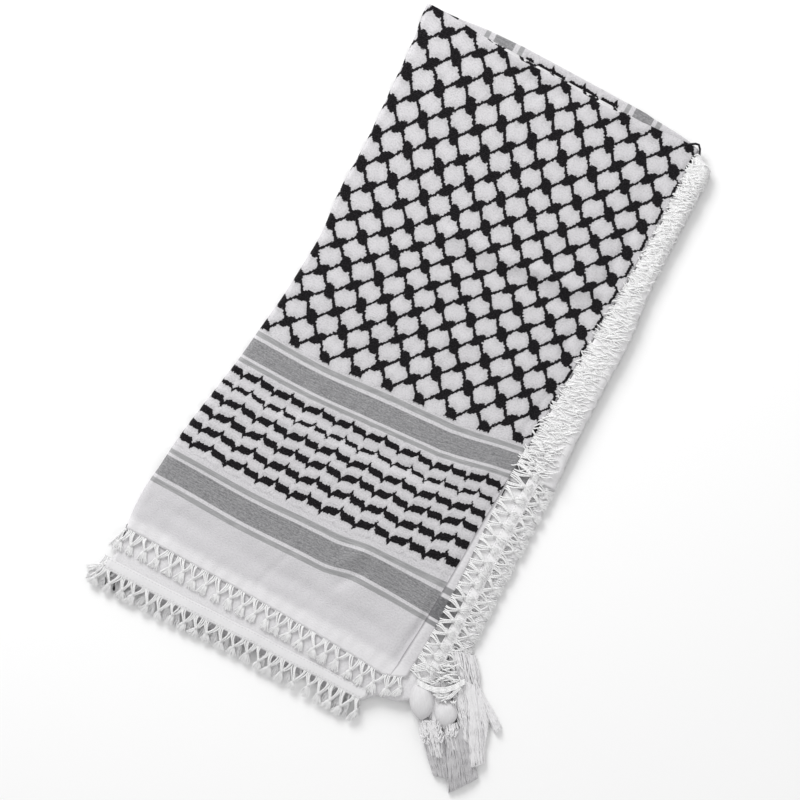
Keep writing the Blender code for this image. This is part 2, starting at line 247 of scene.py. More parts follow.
def toRow(places):
    # From across, down and height in millimetres to the frame's metres
    places = np.asarray(places, float)
    moved = places * np.array([0.001, -0.001, 0.001])
    return moved + np.array([packetZero[0], packetZero[1], 0.0])


# ---- finishes


class Strand:
    # Wraps a shader socket, so that sums on it read as plain expressions
    def __init__(self, finish, socket):
        self.finish, self.socket = finish, socket

    def join(self, operation, other, turned=False):
        first, second = (other, self) if turned else (self, other)
        return self.finish.sum(operation, first, second)


signs = {"add": "ADD", "sub": "SUBTRACT", "mul": "MULTIPLY", "truediv": "DIVIDE"}
for sign, operation in signs.items():
    setattr(Strand, f"__{sign}__", functools.partialmethod(Strand.join, operation))
    setattr(Strand, f"__r{sign}__", functools.partialmethod(Strand.join, operation, turned=True))


class Finish:
    def __init__(self, name, colour, roughness):
        self.material = bpy.data.materials.new(name)
        self.material.use_nodes = True
        self.tree = self.material.node_tree
        self.shader = self.tree.nodes["Principled BSDF"]
        self.shader.inputs["Base Color"].default_value = (*colour, 1)
        self.shader.inputs["Roughness"].default_value = roughness
        self.shader.inputs["Specular IOR Level"].default_value = 0.12
        self.shader.inputs["Sheen Weight"].default_value = 0.02
        self.shader.inputs["Sheen Roughness"].default_value = 0.6

    def feed(self, socket, value):
        if isinstance(value, Strand):
            self.tree.links.new(value.socket, socket)
        else:
            socket.default_value = value

    def node(self, kind, settings=None, inputs=None):
        made = self.tree.nodes.new(kind)
        for key, value in (settings or {}).items():
            setattr(made, key, value)
        for key, value in (inputs or {}).items():
            self.feed(made.inputs[key], value)
        return made

    def sum(self, operation, *values):
        made = self.node("ShaderNodeMath", {"operation": operation}, dict(enumerate(values)))
        return Strand(self, made.outputs[0])

    def least(self, first, *rest):
        for other in rest:
            first = self.sum("MINIMUM", first, other)
        return first

    def most(self, first, *rest):
        for other in rest:
            first = self.sum("MAXIMUM", first, other)
        return first

    def size(self, value):
        return self.sum("ABSOLUTE", value)

    def wave(self, value, period):
        return self.sum("SINE", value * (2 * math.pi / period))

    def wrap(self, value, period):
        turns = self.sum("FLOOR", value / period + 0.5)
        return value - turns * period

    def step(self, value, low, high):
        made = self.node("ShaderNodeMapRange", {"interpolation_type": "SMOOTHSTEP"},
                         {"Value": value, "From Min": low, "From Max": high})
        return Strand(self, made.outputs["Result"])

    def inside(self, distance, soft=0.25):
        return 1 - self.step(distance, -soft, soft)

    def pair(self, x, y, z=0.0):
        made = self.node("ShaderNodeCombineXYZ", None, {"X": x, "Y": y, "Z": z})
        return Strand(self, made.outputs[0])

    def noise(self, vector, scale, detail=2.0, roughness=0.5):
        made = self.node("ShaderNodeTexNoise", None, {
            "Vector": vector, "Scale": scale, "Detail": detail, "Roughness": roughness})
        return Strand(self, made.outputs[0])

    def chance(self, x, y):
        made = self.node("ShaderNodeTexWhiteNoise", {"noise_dimensions": "2D"},
                         {"Vector": self.pair(x, y)})
        return Strand(self, made.outputs[0])

    def tint(self, factor, first, second):
        made = self.node("ShaderNodeMix", {"data_type": "RGBA"}, {"Factor": factor})
        for socket, value in ((made.inputs[6], first), (made.inputs[7], second)):
            self.feed(socket, value if isinstance(value, Strand) else (*value, 1))
        return Strand(self, made.outputs[2])

    def flat(self, layer):
        made = self.node("ShaderNodeUVMap", {"uv_map": layer})
        split = self.node("ShaderNodeSeparateXYZ", None, {0: Strand(self, made.outputs[0])})
        return Strand(self, split.outputs[0]), Strand(self, split.outputs[1])

    def cloth(self):
        # A place on the flat cloth, in millimetres right and down
        u, v = self.flat("flat")
        return u * 1000, v * -1000

    def object(self):
        made = self.node("ShaderNodeTexCoord")
        return Strand(self, made.outputs["Object"])

    def bump(self, height, depth, strength=1.0):
        made = self.node("ShaderNodeBump", None, {
            "Strength": strength, "Distance": depth, "Height": height})
        self.feed(self.shader.inputs["Normal"], Strand(self, made.outputs[0]))

    def colour(self, value):
        self.feed(self.shader.inputs["Base Color"], value)


shades = {
    "cotton": (0.581, 0.571, 0.588),
    "hem": (0.745, 0.735, 0.750),
    "border": (0.900, 0.894, 0.902),
    "black": (0.0032, 0.0028, 0.0036),
    "worn": (0.030, 0.027, 0.031),
    "greyLow": (0.165, 0.164, 0.171),
    "greyHigh": (0.365, 0.363, 0.370),
    "thinLow": (0.275, 0.275, 0.281),
    "thinHigh": (0.385, 0.385, 0.390),
    "seam": (0.550, 0.545, 0.556),
    "yarn": (0.925, 0.921, 0.925),
}

weave = {
    "columnStep": 16.3,      # half the net's repeat across
    "rowStep": 14.95,        # half its repeat down
    "lastColumn": -11.0,     # the last column of knots, from the right hem
    "firstRow": 5.5,         # the first row of knots, from the top fold
    "lastRow": 334.4,
    # Each knot's lean in degrees, half length and half width
    "darkKnot": (31, 8.3, 5.1),
    "slimKnot": (-37, 8.2, 4.5),
    "linkHalf": 1.82,
    "linkBow": 1.25,
    "jag": 1.45,             # a step of the pattern's edges, down and then across
    "post": 1.3,
    "leafPeriod": 33.05,
    "leafStart": -19.4,
    "firstLeafRow": 381.0,
    "leafPitch": 15.5,
    "leafHalf": 3.25,
    "slimLeaf": 1.15,        # the second row is thinner by this much
    # Height and half width of a leaf's spike up, the notch under it, the dip and the spike down
    "leafPeak": (4.0, 1.9),
    "leafNotch": (5.0, 3.2),
    "leafDip": (4.9, 3.0),
    "leafTail": (4.2, 2.2),
    # Grey bars as middle and half width, below the net and then beside it
    "thinBars": [(342.3, 2.2), (370.1, 2.1), (475.2, 2.3), (506.0, 2.3)],
    "wideBars": [(356.3, 9.0), (490.4, 10.1)],
    "sideThinBars": [(-219.9, 2.3), (-185.6, 2.3), (-73.7, 2.1), (-41.5, 2.4)],
    "sideWideBars": [(-202.6, 9.9), (-57.4, 9.6)],
    "hemBand": 546.5,
    "whiteBorder": 25,       # the second ply shows no black this close to its right hem
}


def netPattern(kit, x, y):
    # Knots of two leans joined by slanting links, closed by arcs along the right hem
    acrossStep, downStep = weave["columnStep"], weave["rowStep"]
    px, py = x - weave["lastColumn"], y - weave["firstRow"]
    darkX, darkY = kit.wrap(px, 2 * acrossStep), kit.wrap(py, 2 * downStep)
    slimX = kit.wrap(px - acrossStep, 2 * acrossStep)
    slimY = kit.wrap(py - downStep, 2 * downStep)

    def knot(kx, ky, lean, long, short):
        lean = math.radians(lean)
        along = kx * math.sin(lean) + ky * math.cos(lean)
        side = kx * math.cos(lean) - ky * math.sin(lean)
        reach = kit.sum("SQRT", (along * along) / long ** 2 + (side * side) / short ** 2)
        return (reach - 1) * short

    dark = knot(darkX, darkY, *weave["darkKnot"])
    slim = knot(slimX, slimY, *weave["slimKnot"])
    bow = kit.wave(px, acrossStep) * weave["linkBow"]
    unit = math.hypot(1 / acrossStep, 1 / downStep)
    fall = kit.size(kit.wrap((py + bow) / downStep - px / acrossStep, 2.0)) / unit
    rise = kit.size(kit.wrap((py - bow) / downStep + px / acrossStep, 2.0)) / unit
    links = kit.least(fall - weave["linkHalf"], rise - 0.9 * weave["linkHalf"])
    body = kit.least(dark, slim, links)
    edge = kit.least(kit.size(darkY) * 1.15 + weave["lastColumn"], -1.7)
    arc = kit.size(x - edge) * 0.8 - 1.25
    closing = kit.most(kit.least(arc, dark), x + 0.3)
    past = kit.step(px, 0.2, 0.6)
    shape = body * (1 - past) + closing * past
    return kit.most(shape, y - (weave["lastRow"] + 2.6))


def leafPattern(kit, x, y, firstRow, rows):
    # Rows of slanted leaves with a spike up and a spike down in each repeat
    period, pitch = weave["leafPeriod"], weave["leafPitch"]
    number = kit.sum("FLOOR", (y - firstRow) / pitch + 0.5)
    middle = kit.wrap(y - firstRow, pitch)
    lean = kit.wrap(x - weave["leafStart"], period)
    near = kit.size(lean)
    far = period / 2 - near
    slim = kit.inside(kit.size(number - 1) - 0.5, 0.2)
    stout = weave["leafHalf"] - weave["slimLeaf"] * slim

    def spike(distance, height, half):
        return height * kit.most(1 - distance / half, 0.0)

    rise = spike(near, *weave["leafPeak"]) + spike(near, 0.7, 6.0)
    top = spike(far, *weave["leafDip"]) - stout - rise
    bottom = stout - spike(near, *weave["leafNotch"]) + spike(far, *weave["leafTail"])
    shape = kit.most(top - middle, middle - bottom)
    return kit.most(shape, firstRow - pitch / 2 - y, y - (firstRow + pitch * (rows - 0.5)))


def barPattern(kit, y, bars):
    return kit.least(*[kit.size(y - middle) - half for middle, half in bars])


def threads(kit, x, y):
    # The weave itself, a mottle of slubs, and streaks that run along the weft
    cross = kit.wave(x, 0.92) * kit.wave(y, 1.0)
    mottle = kit.noise(kit.pair(x * 0.35, y * 0.9), 1.0, 3.0, 0.6)
    streak = kit.noise(kit.pair(x * 0.07, y * 0.8), 1.0, 3.0, 0.65)
    return cross, mottle, streak


def scaled(colour, gain, limit=1.0):
    return [min(shade * gain, limit) for shade in colour]


def patternedCotton(name, side):
    # side is "lower" where the border's bars run across, "long" where they run down, and
    # "clear" for the ply that keeps its right border white
    kit = Finish(name, shades["cotton"], 0.88)
    x, y = kit.cloth()
    line = kit.sum("FLOOR", y / weave["jag"])
    post = kit.sum("FLOOR", x / weave["post"])
    wander = kit.noise(kit.pair(x * 0.1, y * 0.1), 1.0, 1.0)
    jagX = x + (kit.chance(line, kit.sum("FLOOR", x / 9.0)) - 0.5) * 1.25 + (wander - 0.5) * 2.4
    jagY = (line + 0.5) * weave["jag"] * 0.72 + y * 0.28 + (kit.chance(post, line) - 0.5) * 0.7
    net = netPattern(kit, jagX, jagY)
    toothY = y + (kit.chance(post, kit.sum("FLOOR", y / 9.0)) - 0.5) * 1.1 + (wander - 0.5) * 1.2
    if side != "long":
        leaves = leafPattern(kit, jagX, toothY, weave["firstLeafRow"], 6)
        thin = barPattern(kit, y, weave["thinBars"])
        wide = barPattern(kit, y, weave["wideBars"])
        hem = kit.step(y + (wander - 0.5) * 5, weave["hemBand"] - 6, weave["hemBand"] + 3)
    if side == "clear":
        hem = kit.most(kit.step(x, -30, -20) * (1 - kit.step(y, 524, 540)), 0.42)
    if side == "long":
        net = kit.most(kit.size(y + 1.2) - 0.1 * (x + 262.5), -262 - x, x + 250.2)
        leaves = kit.most(leafPattern(kit, jagX, toothY, -29.0, 12), x + 82.5, -178.5 - x)
        thin = barPattern(kit, x, weave["sideThinBars"])
        wide = barPattern(kit, x, weave["sideWideBars"])
        hem = kit.step(x, 9.5, 10.5)
    cross, mottle, streak = threads(kit, x, y)
    if side == "clear":
        net, leaves = [kit.most(ink, x + weave["whiteBorder"]) for ink in (net, leaves)]
    black = kit.inside(kit.least(net, leaves), 0.3)
    # Away from the black yarn the cells puff up: this raises them in the bump and also paints them
    # lighter, a painted highlight on the puffed cloth
    puffAndHighlight = kit.step(kit.least(net, leaves), 0.2, 4.5)
    greyWide = kit.inside(wide, 0.35)
    greyThin = kit.inside(thin, 0.35)
    crepe = kit.noise(kit.pair(x * 0.62 + y * 0.2, y * 0.8 - x * 0.2), 1.0, 1.5)
    low, high = scaled(shades["cotton"], 0.83), scaled(shades["cotton"], 1.10)
    cotton = kit.tint(kit.step(mottle * 0.2 + crepe * 0.65 + puffAndHighlight * 0.15, 0.33, 0.68), low, high)
    if side == "lower":
        cotton = kit.tint(kit.step(y, 506, 514) * 0.55, cotton, scaled(shades["cotton"], 1.06))
    cotton = kit.tint(hem, cotton, shades["border" if side == "clear" else "hem"])
    blotch = kit.step(mottle * 0.4 + streak * 0.35 + crepe * 0.25, 0.34, 0.66)
    base = kit.tint(greyWide, cotton, kit.tint(blotch, shades["greyLow"], shades["greyHigh"]))
    thinGrey = kit.tint(kit.step(streak, 0.3, 0.7), shades["thinLow"], shades["thinHigh"])
    base = kit.tint(greyThin * 0.95, base, thinGrey)
    fleck = kit.noise(kit.pair(x * 0.95, y * 0.95), 1.0, 1.5)
    wear = kit.step(mottle * 0.3 + fleck * 0.7, 0.42, 0.72)
    kit.colour(kit.tint(black, base, kit.tint(wear, shades["black"], shades["worn"])))
    floats = kit.wave(y, weave["jag"]) * black * 0.35
    grain = mottle * 0.5 + streak * 0.3 + crepe * 1.1 + puffAndHighlight * 0.8
    kit.bump(cross * 0.16 + black * 0.75 + floats + grain, 0.0005, 0.9)
    return kit.material


def plainCotton(name, colour):
    kit = Finish(name, colour, 0.9)
    cross, mottle, streak = threads(kit, *kit.cloth())
    low, high = scaled(colour, 0.955), scaled(colour, 1.03)
    kit.colour(kit.tint(kit.step(mottle * 0.6 + streak * 0.4, 0.3, 0.7), low, high))
    kit.bump(cross * 0.2 + mottle * 0.7 + streak * 0.5, 0.0004, 0.7)
    return kit.material


def tapeCotton(name, low, high):
    # u runs along the tape and v across it, in metres from its inner edge
    kit = Finish(name, shades["hem"], 0.85)
    u, v = kit.flat("flat")
    x, y = u * 1000, v * 1000
    stray = kit.noise(kit.pair(x * 0.15, y * 0.4), 1.0) * 5
    rib = kit.sum("SINE", x * (2 * math.pi / 1.6) + stray)
    stitch = kit.wave(x, 3.2)
    rows = kit.most(*[kit.inside(kit.size(y - row) - 0.32, 0.2) for row in (1.5, 8.6)])
    mottle = kit.noise(kit.pair(x * 0.3, y * 0.5), 1.0, 3.0, 0.6)
    seam = rows * kit.step(stitch, -0.2, 0.5) * 0.5
    kit.colour(kit.tint(seam, kit.tint(mottle, low, high), shades["seam"]))
    kit.bump(rib * 0.16 - rows * 0.9 * kit.step(stitch, -0.4, 0.4) + mottle * 0.8, 0.0005, 0.8)
    return kit.material


def yarnCotton(name, colour, turns, dull=0.86):
    # Strands carry their length along u and their girth along v
    kit = Finish(name, colour, 0.8)
    u, v = kit.flat("UVMap")
    twist = kit.wave(u * turns + v * 2, 1)
    grain = kit.noise(kit.object(), 900.0, 2.0, 0.6)
    soft = kit.noise(kit.object(), 160.0, 2.0, 0.6)
    low, high = scaled(colour, dull), scaled(colour, 1.04, 0.94)
    kit.colour(kit.tint(kit.step(twist * 0.28 + soft * 0.8 + grain * 0.3, 0.1, 0.9), low, high))
    kit.bump(twist * 0.5 + grain * 0.4, 0.0003, 0.8)
    return kit.material


def woundCotton(name, colour):
    # A wound head: fine yarns that run from pole to pole
    kit = Finish(name, colour, 0.8)
    u, v = kit.flat("flat")
    strands = kit.sum("SINE", u * 420 + kit.noise(kit.pair(u * 12, v * 3), 1.0) * 8)
    grain = kit.noise(kit.pair(u * 55, v * 3), 1.0, 3.0, 0.7)
    low, high = scaled(colour, 0.90), scaled(colour, 1.03, 0.93)
    kit.colour(kit.tint(kit.step(strands * 0.1 + grain, 0.25, 0.8), low, high))
    kit.bump(strands * 0.3 + grain * 1.2, 0.0004, 0.6)
    return kit.material


print("finishes")
frontWeave = patternedCotton("frontWeave", "lower")
secondWeave = patternedCotton("secondWeave", "clear")
innerWeave = patternedCotton("innerWeave", "long")
plainWeave = plainCotton("plainWeave", shades["cotton"])
tapeWeave = tapeCotton("tapeWeave", (0.70, 0.694, 0.704), (0.80, 0.793, 0.803))
# The right tape is the same cloth as the lower tape, painted lighter: painted light that makes up
# for the shade of the fringes lying over it
paintedLightSideTape = tapeCotton("paintedLightSideTape", (0.80, 0.794, 0.802), (0.89, 0.884, 0.892))
fringeYarn = yarnCotton("fringeYarn", shades["yarn"], 7)
lowerYarn = yarnCotton("lowerYarn", (0.90, 0.897, 0.903), 7)
tasselYarn = yarnCotton("tasselYarn", (0.84, 0.832, 0.842), 5, 0.93)
# A darker copy of the tassel yarn for the skirts listed as shaded: painted shade
paintedShadeYarn = yarnCotton("paintedShadeYarn", (0.60, 0.592, 0.604), 5, 0.95)
headYarn = woundCotton("headYarn", (0.75, 0.742, 0.753))
# The felted bed under the matted threads, darker than the yarn: painted shade in the gaps between
# the threads
bedYarnPaintedShade = yarnCotton("bedYarnPaintedShade", (0.79, 0.782, 0.793), 5)
blackYarn = yarnCotton("blackYarn", (0.018, 0.017, 0.020), 5)


# ---- cloth


def addObject(name, data):
    added = bpy.data.objects.new(name, data)
    bpy.context.scene.collection.objects.link(added)
    return added


def meshFrom(name, shape):
    mesh = bpy.data.meshes.new(name)
    shape.to_mesh(mesh)
    shape.free()
    return mesh


def finishPiece(mesh, name, materials, slot, *nodes):
    for material in materials:
        mesh.materials.append(material)
    mesh.shade_smooth()
    piece = addObject(name, mesh)
    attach(piece, "root")
    if nodes:
        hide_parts(*nodes)
    return piece


def clothGrid(name, columns, rows, place):
    # A grid whose points and flat coordinates come from its column and row numbers
    sheet = bmesh.new()
    bmesh.ops.create_grid(sheet, x_segments=columns, y_segments=rows, size=1.0)
    mesh = meshFrom(name, sheet)
    spots = np.empty(len(mesh.vertices) * 3)
    mesh.vertices.foreach_get("co", spots)
    spots = spots.reshape(-1, 3)
    column = np.rint((spots[:, 0] + 1) / 2 * columns)
    row = np.rint((1 - spots[:, 1]) / 2 * rows)
    places, flats = place(column, row)
    mesh.vertices.foreach_set("co", toRow(places).ravel())
    corners = np.empty(len(mesh.loops), int)
    mesh.loops.foreach_get("vertex_index", corners)
    layer = mesh.uv_layers.new(name="flat")
    layer.data.foreach_set("uv", (flats[corners] * 0.001).ravel())
    mesh.update()
    return mesh


def makeSheet(name, columns, rows, place, thickness, material, slot, node, flipped=False):
    # A grid's piece, with a wall as thick as its cloth
    mesh = clothGrid(name, columns, rows, place)
    if flipped:
        mesh.flip_normals()
    piece = finishPiece(mesh, name, [material], slot, node)
    wall = piece.modifiers.new("wall", "SOLIDIFY")
    wall.thickness = thickness * 0.001
    wall.offset = 0.0
    return piece


def frontFlat(across, down):
    # Where a point of the front ply lies on the flat cloth, from its right hem and the top fold
    woven = down - strain(weftSag, across, down)
    for _ in range(2):
        woven = down - strain(weftSag, across, woven)
    upright = across - strain(warpLean, across, down)
    upright = across - strain(warpLean, upright, down)
    return upright - clothWidth, -woven


frontShape = {
    "top": 100, "turn": 12, "under": 50, "rightTurn": 7, "back": 3, "lip": 4, "rows": 190,
    "lipRadius": 0.8,
    "foldRadius": 5.25,
    "rightInset": 5.0,       # the underside's turn lies this far in from the hem
    "rightRadius": 2.3,
    "backLength": 14.0,
}


def makeFrontCloth():
    steps = frontShape
    ends = np.cumsum([steps[key] for key in ("top", "turn", "under", "rightTurn", "back")])
    columns, rows = int(ends[-1]), steps["lip"] + steps["rows"]
    half = packet["wall"] / 2
    lipRadius, radius, under = steps["lipRadius"], steps["foldRadius"], half

    def place(column, row):
        step = columns - column
        turnLip = np.clip(steps["lip"] - row, 0, steps["lip"]) / steps["lip"] * (math.pi / 2)
        depth = lipRadius * (1 - np.cos(turnLip))
        topShare = np.clip(step / ends[0], 0, 1)
        guess = 281 - 294 * topShare
        dip = plan("topDip", 284 - 280 * topShare, "dipAcross") * (step <= ends[1])
        dip = dip - 0.8 * (step > ends[1])
        topDown = dip + half + lipRadius * (1 - np.sin(turnLip))
        share = np.clip(row - steps["lip"], 0, None) / steps["rows"]
        down = topDown + (plan("frontLower", guess, "across") - topDown) * share
        fold, hem = plan("longFold", down), plan("frontHem", down)
        frontTop = packet["frontHeight"] + relief(hem + (fold + 5.6 - hem) * topShare, down)
        centre = fold + radius + half
        across = hem + (centre - hem) * topShare
        top = frontTop + ruffle(across, down)
        foldTop = packet["frontHeight"] + relief(centre, down)
        x, z = across.copy(), top - depth
        flatX, flatY = frontFlat(across, down)
        flatY = np.where(row < steps["lip"], flatY + (row - steps["lip"]) * -0.3, flatY)
        # Round the long fold
        turning = (step > ends[0]) & (step <= ends[1])
        angle = ramp(step, ends[0], steps["turn"]) * math.pi
        middle, halfHeight = (foldTop + under) / 2, (foldTop - under) / 2
        shrink = 1 - depth / radius
        roll = 1 + 0.10 * ripple(down * 0, down, 60, 21)
        x = np.where(turning, centre - radius * np.sin(angle) * shrink * roll, x)
        z = np.where(turning, middle + halfHeight * np.cos(angle) * shrink, z)
        foldX, foldY = frontFlat(centre, down)
        flatX = np.where(turning, foldX - radius * angle, flatX)
        # The underside, and the short turn up at its right
        beneath = step > ends[1]
        rightEnd = hem - steps["rightInset"]
        underShare = ramp(step, ends[1], steps["under"])
        x = np.where(beneath, centre + (rightEnd - centre) * underShare, x)
        z = np.where(beneath, under + depth, z)
        lift = ramp(step, ends[2], steps["rightTurn"]) * math.pi
        turnUp = step > ends[2]
        x = np.where(turnUp, rightEnd + steps["rightRadius"] * np.sin(lift), x)
        z = np.where(turnUp, under + 2.35 * (1 - np.cos(lift)), z)
        backShare = ramp(step, ends[3], steps["back"])
        x = np.where(step > ends[3], rightEnd - steps["backLength"] * backShare, x)
        run = (rightEnd - centre) * underShare + steps["rightRadius"] * lift
        run = run + steps["backLength"] * backShare
        flatX = np.where(beneath, foldX - radius * math.pi - run, flatX)
        flatY = np.where(turning | beneath, foldY, flatY)
        return np.stack([x, down, z], 1), np.stack([flatX, flatY], 1)

    return makeSheet("frontCloth", columns, rows, place, packet["wall"], frontWeave,
                     "front_cloth", "front_quarter")


def outerRelief(across, down):
    # Past the front ply's edges the relief stays as it is at them
    return relief(np.clip(across, -10, 281), down)


def secondHeight(across, down):
    return packet["secondHeight"] + outerRelief(across, down) * 0.85


def rightSag(across):
    return ramp(across, 283, 20) * 1.2


def lowerSag(down):
    return ramp(down, 568, 30) * 1.5


secondShape = {
    "top": 70, "turn": 8, "under": 36, "rows": 120,
    "topDown": 1.7,
    "cornerSlant": 0.7,
    "foldInset": 5.5,
    "underGap": 28,          # the underside ends this far in from the hem
    "drawnDown": [0, 337, 481, 560, 596],
    "drawn": [12, 19, 9.4, -25, -39],
}


def makeSecondCloth():
    top, turn, under, rows = [secondShape[key] for key in ("top", "turn", "under", "rows")]
    start, gap = secondShape["topDown"], secondShape["underGap"]
    low = packet["underSecondHeight"]

    def place(column, row):
        step = top + turn + under - column
        topShare = np.clip(step / top, 0, 1)
        guess = 305 - 312 * topShare
        down = start + (plan("secondLower", guess, "across") - start) * row / rows
        fold, hem = plan("longFold", down), plan("secondHem", down)
        radius = (packet["secondHeight"] - low) / 2
        centre = fold + secondShape["foldInset"]
        across = hem + (centre - hem) * topShare
        lower = plan("secondLower", across, "across")
        slant = np.clip(across - 284, 0, None) * secondShape["cornerSlant"]
        down = start + slant + (lower - start - slant) * row / rows
        high = secondHeight(across, down)
        foldHigh = secondHeight(centre, down)
        sag = rightSag(across) + lowerSag(down)
        x, z = across.copy(), high - sag + ruffle(across, down) * 0.8
        drawn = throughPoints(secondShape["drawnDown"], secondShape["drawn"], down)
        flatX, flatY = across - hem, -(down + drawn)
        turning = (step > top) & (step <= top + turn)
        angle = ramp(step, top, turn) * math.pi
        x = np.where(turning, centre - radius * np.sin(angle), x)
        z = np.where(turning, (foldHigh + low) / 2 + (foldHigh - low) / 2 * np.cos(angle), z)
        beneath = step > top + turn
        share = ramp(step, top + turn, under)
        x = np.where(beneath, centre + (hem - gap - centre) * share, x)
        hiddenLower = plan("secondLower", np.where(beneath, x + 14, 0), "across") - 4
        down = np.where(beneath, np.minimum(down, hiddenLower), down)
        z = np.where(beneath, low, z)
        around = centre - hem - radius * angle - (hem - gap - centre) * share
        flatX = np.where(turning | beneath, around, flatX)
        return np.stack([x, down, z], 1), np.stack([flatX, flatY], 1)

    return makeSheet("secondCloth", top + turn + under, rows, place, packet["wall"], secondWeave,
                     "second_cloth", "second_quarter")


pairShape = {"columns": 64, "rows": 60, "turn": 6}


def makeFoldedPair(name, height, radius, topEdge, leftIn, rightOut, lowerIn, damp,
                   material, slot, node):
    # Two plies joined by a round turn at their top fold
    columns, rows, turn = [pairShape[key] for key in ("columns", "rows", "turn")]

    def place(column, row):
        share = column / columns
        guess = -5 + 290 * share
        top = topEdge(guess)
        lower = plan("secondLower", guess, "across") - lowerIn
        lower = lower - 12 * ramp(guess, 236, 12)
        upper = ramp(row, rows, -rows)
        back = ramp(row, rows + turn, rows)
        angle = ramp(row, rows, turn) * math.pi
        down = top + radius + (lower - top) * np.where(row < rows, upper, back) ** 1.6
        left = plan("longFold", down) + leftIn
        across = left + (plan("frontHem", down) + rightOut - left) * share
        rise = outerRelief(across, down) * damp
        turning = (row >= rows) & (row <= rows + turn)
        z = np.where(row < rows, height + radius, height - radius)
        z = np.where(turning, height + radius * np.cos(angle), z)
        down = np.where(turning, top + radius - radius * np.sin(angle), down)
        flats = np.stack([across - 283.2, -down], 1)
        return np.stack([across, down, z + rise], 1), flats

    return makeSheet(name, columns, rows * 2 + turn, place, packet["wall"], material,
                     slot, node, True)


print("cloth")
frontCloth = makeFrontCloth()
secondCloth = makeSecondCloth()
innerPair = makeFoldedPair(
    "innerPair", packet["innerHeight"], 0.75,
    lambda across: plan("stripTop", across, "stripAcross"), 7.6, 3, 11, 0.6,
    innerWeave, "inner_cloth", "inner_fold")
corePair = makeFoldedPair(
    "corePair", packet["coreHeight"], 0.7,
    lambda across: 1.5 + across * 0, 7.4, -6, -5, 0.15,
    plainWeave, "core_cloth", "folded_core")


# ---- hems


def makeBand(name, columns, rows, edge, material, slot, node, wall):
    # A band of cloth: edge gives across, down and height from its shares along and over it
    def place(column, row):
        places, flats = edge(column / columns, row / rows)
        return np.stack(places, 1), np.stack(flats, 1)

    makeSheet(name, columns, rows, place, wall, material, slot, node)


tape = {"width": 10.8, "lift": 0.85, "crown": 0.25, "wall": 0.7}


def tapeHeight(across, down, over, sag):
    rise = tape["lift"] + tape["crown"] * np.sin(over * math.pi)
    return secondHeight(across, down) + rise - sag + ruffle(across, down) * 0.8


def rightTape(over, along):
    down = 9 + (540 - 9) * along
    outer = plan("secondHem", down) - 0.3 + 0.35 * ripple(down * 0, down, 40, 31)
    across = outer - tape["width"] * (1 - over)
    height = tapeHeight(across, down, over, rightSag(across))
    return (across, down, height), (down, over * tape["width"])


def lowerTape(along, over):
    across = -13 + (256.5 + 13) * along - 2.5 * (2 * over - 1) ** 2 * (along > 0.97)
    outer = plan("secondLower", across, "across") - 0.1 + 0.35 * ripple(across, across * 0, 40, 32)
    down = outer - tape["width"] * (1 - over)
    height = tapeHeight(across, down, over, lowerSag(down))
    return (across, down, height), (across, over * tape["width"])


# The front ply's turned hem, which shows from the upper bars down
strip = {"start": 352, "length": 205, "wall": 0.5, "lift": 0.85, "slip": 2.6}


def frontStrip(over, along):
    guess = strip["start"] + strip["length"] * along
    outer = plan("frontHem", guess) + 0.2
    inner = plan("crease", guess, "creaseDown")
    across = inner + (outer - inner) * over
    lower = plan("frontLower", across, "across") + 0.3
    down = strip["start"] + (lower - strip["start"]) * along
    merge = ramp(along, 0.90, 0.09)
    height = packet["frontHeight"] + relief(across, down) + ruffle(across, down)
    height = height + strip["lift"] - 0.75 * np.exp(-over * 7)
    height = height + 0.2 * np.sin(over * math.pi) - 0.22 * merge
    flatX, flatY = frontFlat(across, down)
    slipped = strip["slip"] * ramp(down, 505, -30)
    return (across, down, height), (across - inner, flatY + slipped)


# The right tape's lighter finish is painted light
makeBand("secondTapeRight", 6, 130, rightTape, paintedLightSideTape,
         "hem_tape", "second_hem_right", tape["wall"])
makeBand("secondTapeLower", 80, 6, lowerTape, tapeWeave,
         "hem_tape", "second_hem_lower", tape["wall"])


def stripCotton():
    # The turned hem: the bars show through it, the leaves don't
    kit = Finish("stripWeave", shades["hem"], 0.88)
    x, y = kit.cloth()
    cross, mottle, streak = threads(kit, x, y)
    wide = kit.inside(barPattern(kit, y, weave["wideBars"]), 0.5)
    thin = kit.inside(barPattern(kit, y, weave["thinBars"]), 0.5)
    hem = kit.step(y, weave["hemBand"] - 8, weave["hemBand"] + 3)
    white = kit.tint(kit.step(mottle, 0.3, 0.7), (0.580, 0.570, 0.585), (0.68, 0.67, 0.685))
    white = kit.tint(hem, white, shades["hem"])
    greys = kit.tint(kit.step(mottle, 0.36, 0.66), (0.120, 0.120, 0.126), (0.215, 0.215, 0.22))
    base = kit.tint(thin * 0.9, kit.tint(wide, white, greys), (0.22, 0.22, 0.226))
    # Painted shade: the strip is darkened along its inner edge, where it lies in the crease
    creaseShade = (1 - kit.step(x, 0.3, 2.6)) * 0.66
    kit.colour(kit.tint(creaseShade, base, (0.16, 0.155, 0.165)))
    kit.bump(cross * 0.2 + mottle * 0.8 + streak * 0.5, 0.0004, 0.75)
    return kit.material


makeBand("frontStrip", 6, 70, frontStrip, stripCotton(),
         "front_cloth", "front_hem_right", strip["wall"])


# ---- fringes


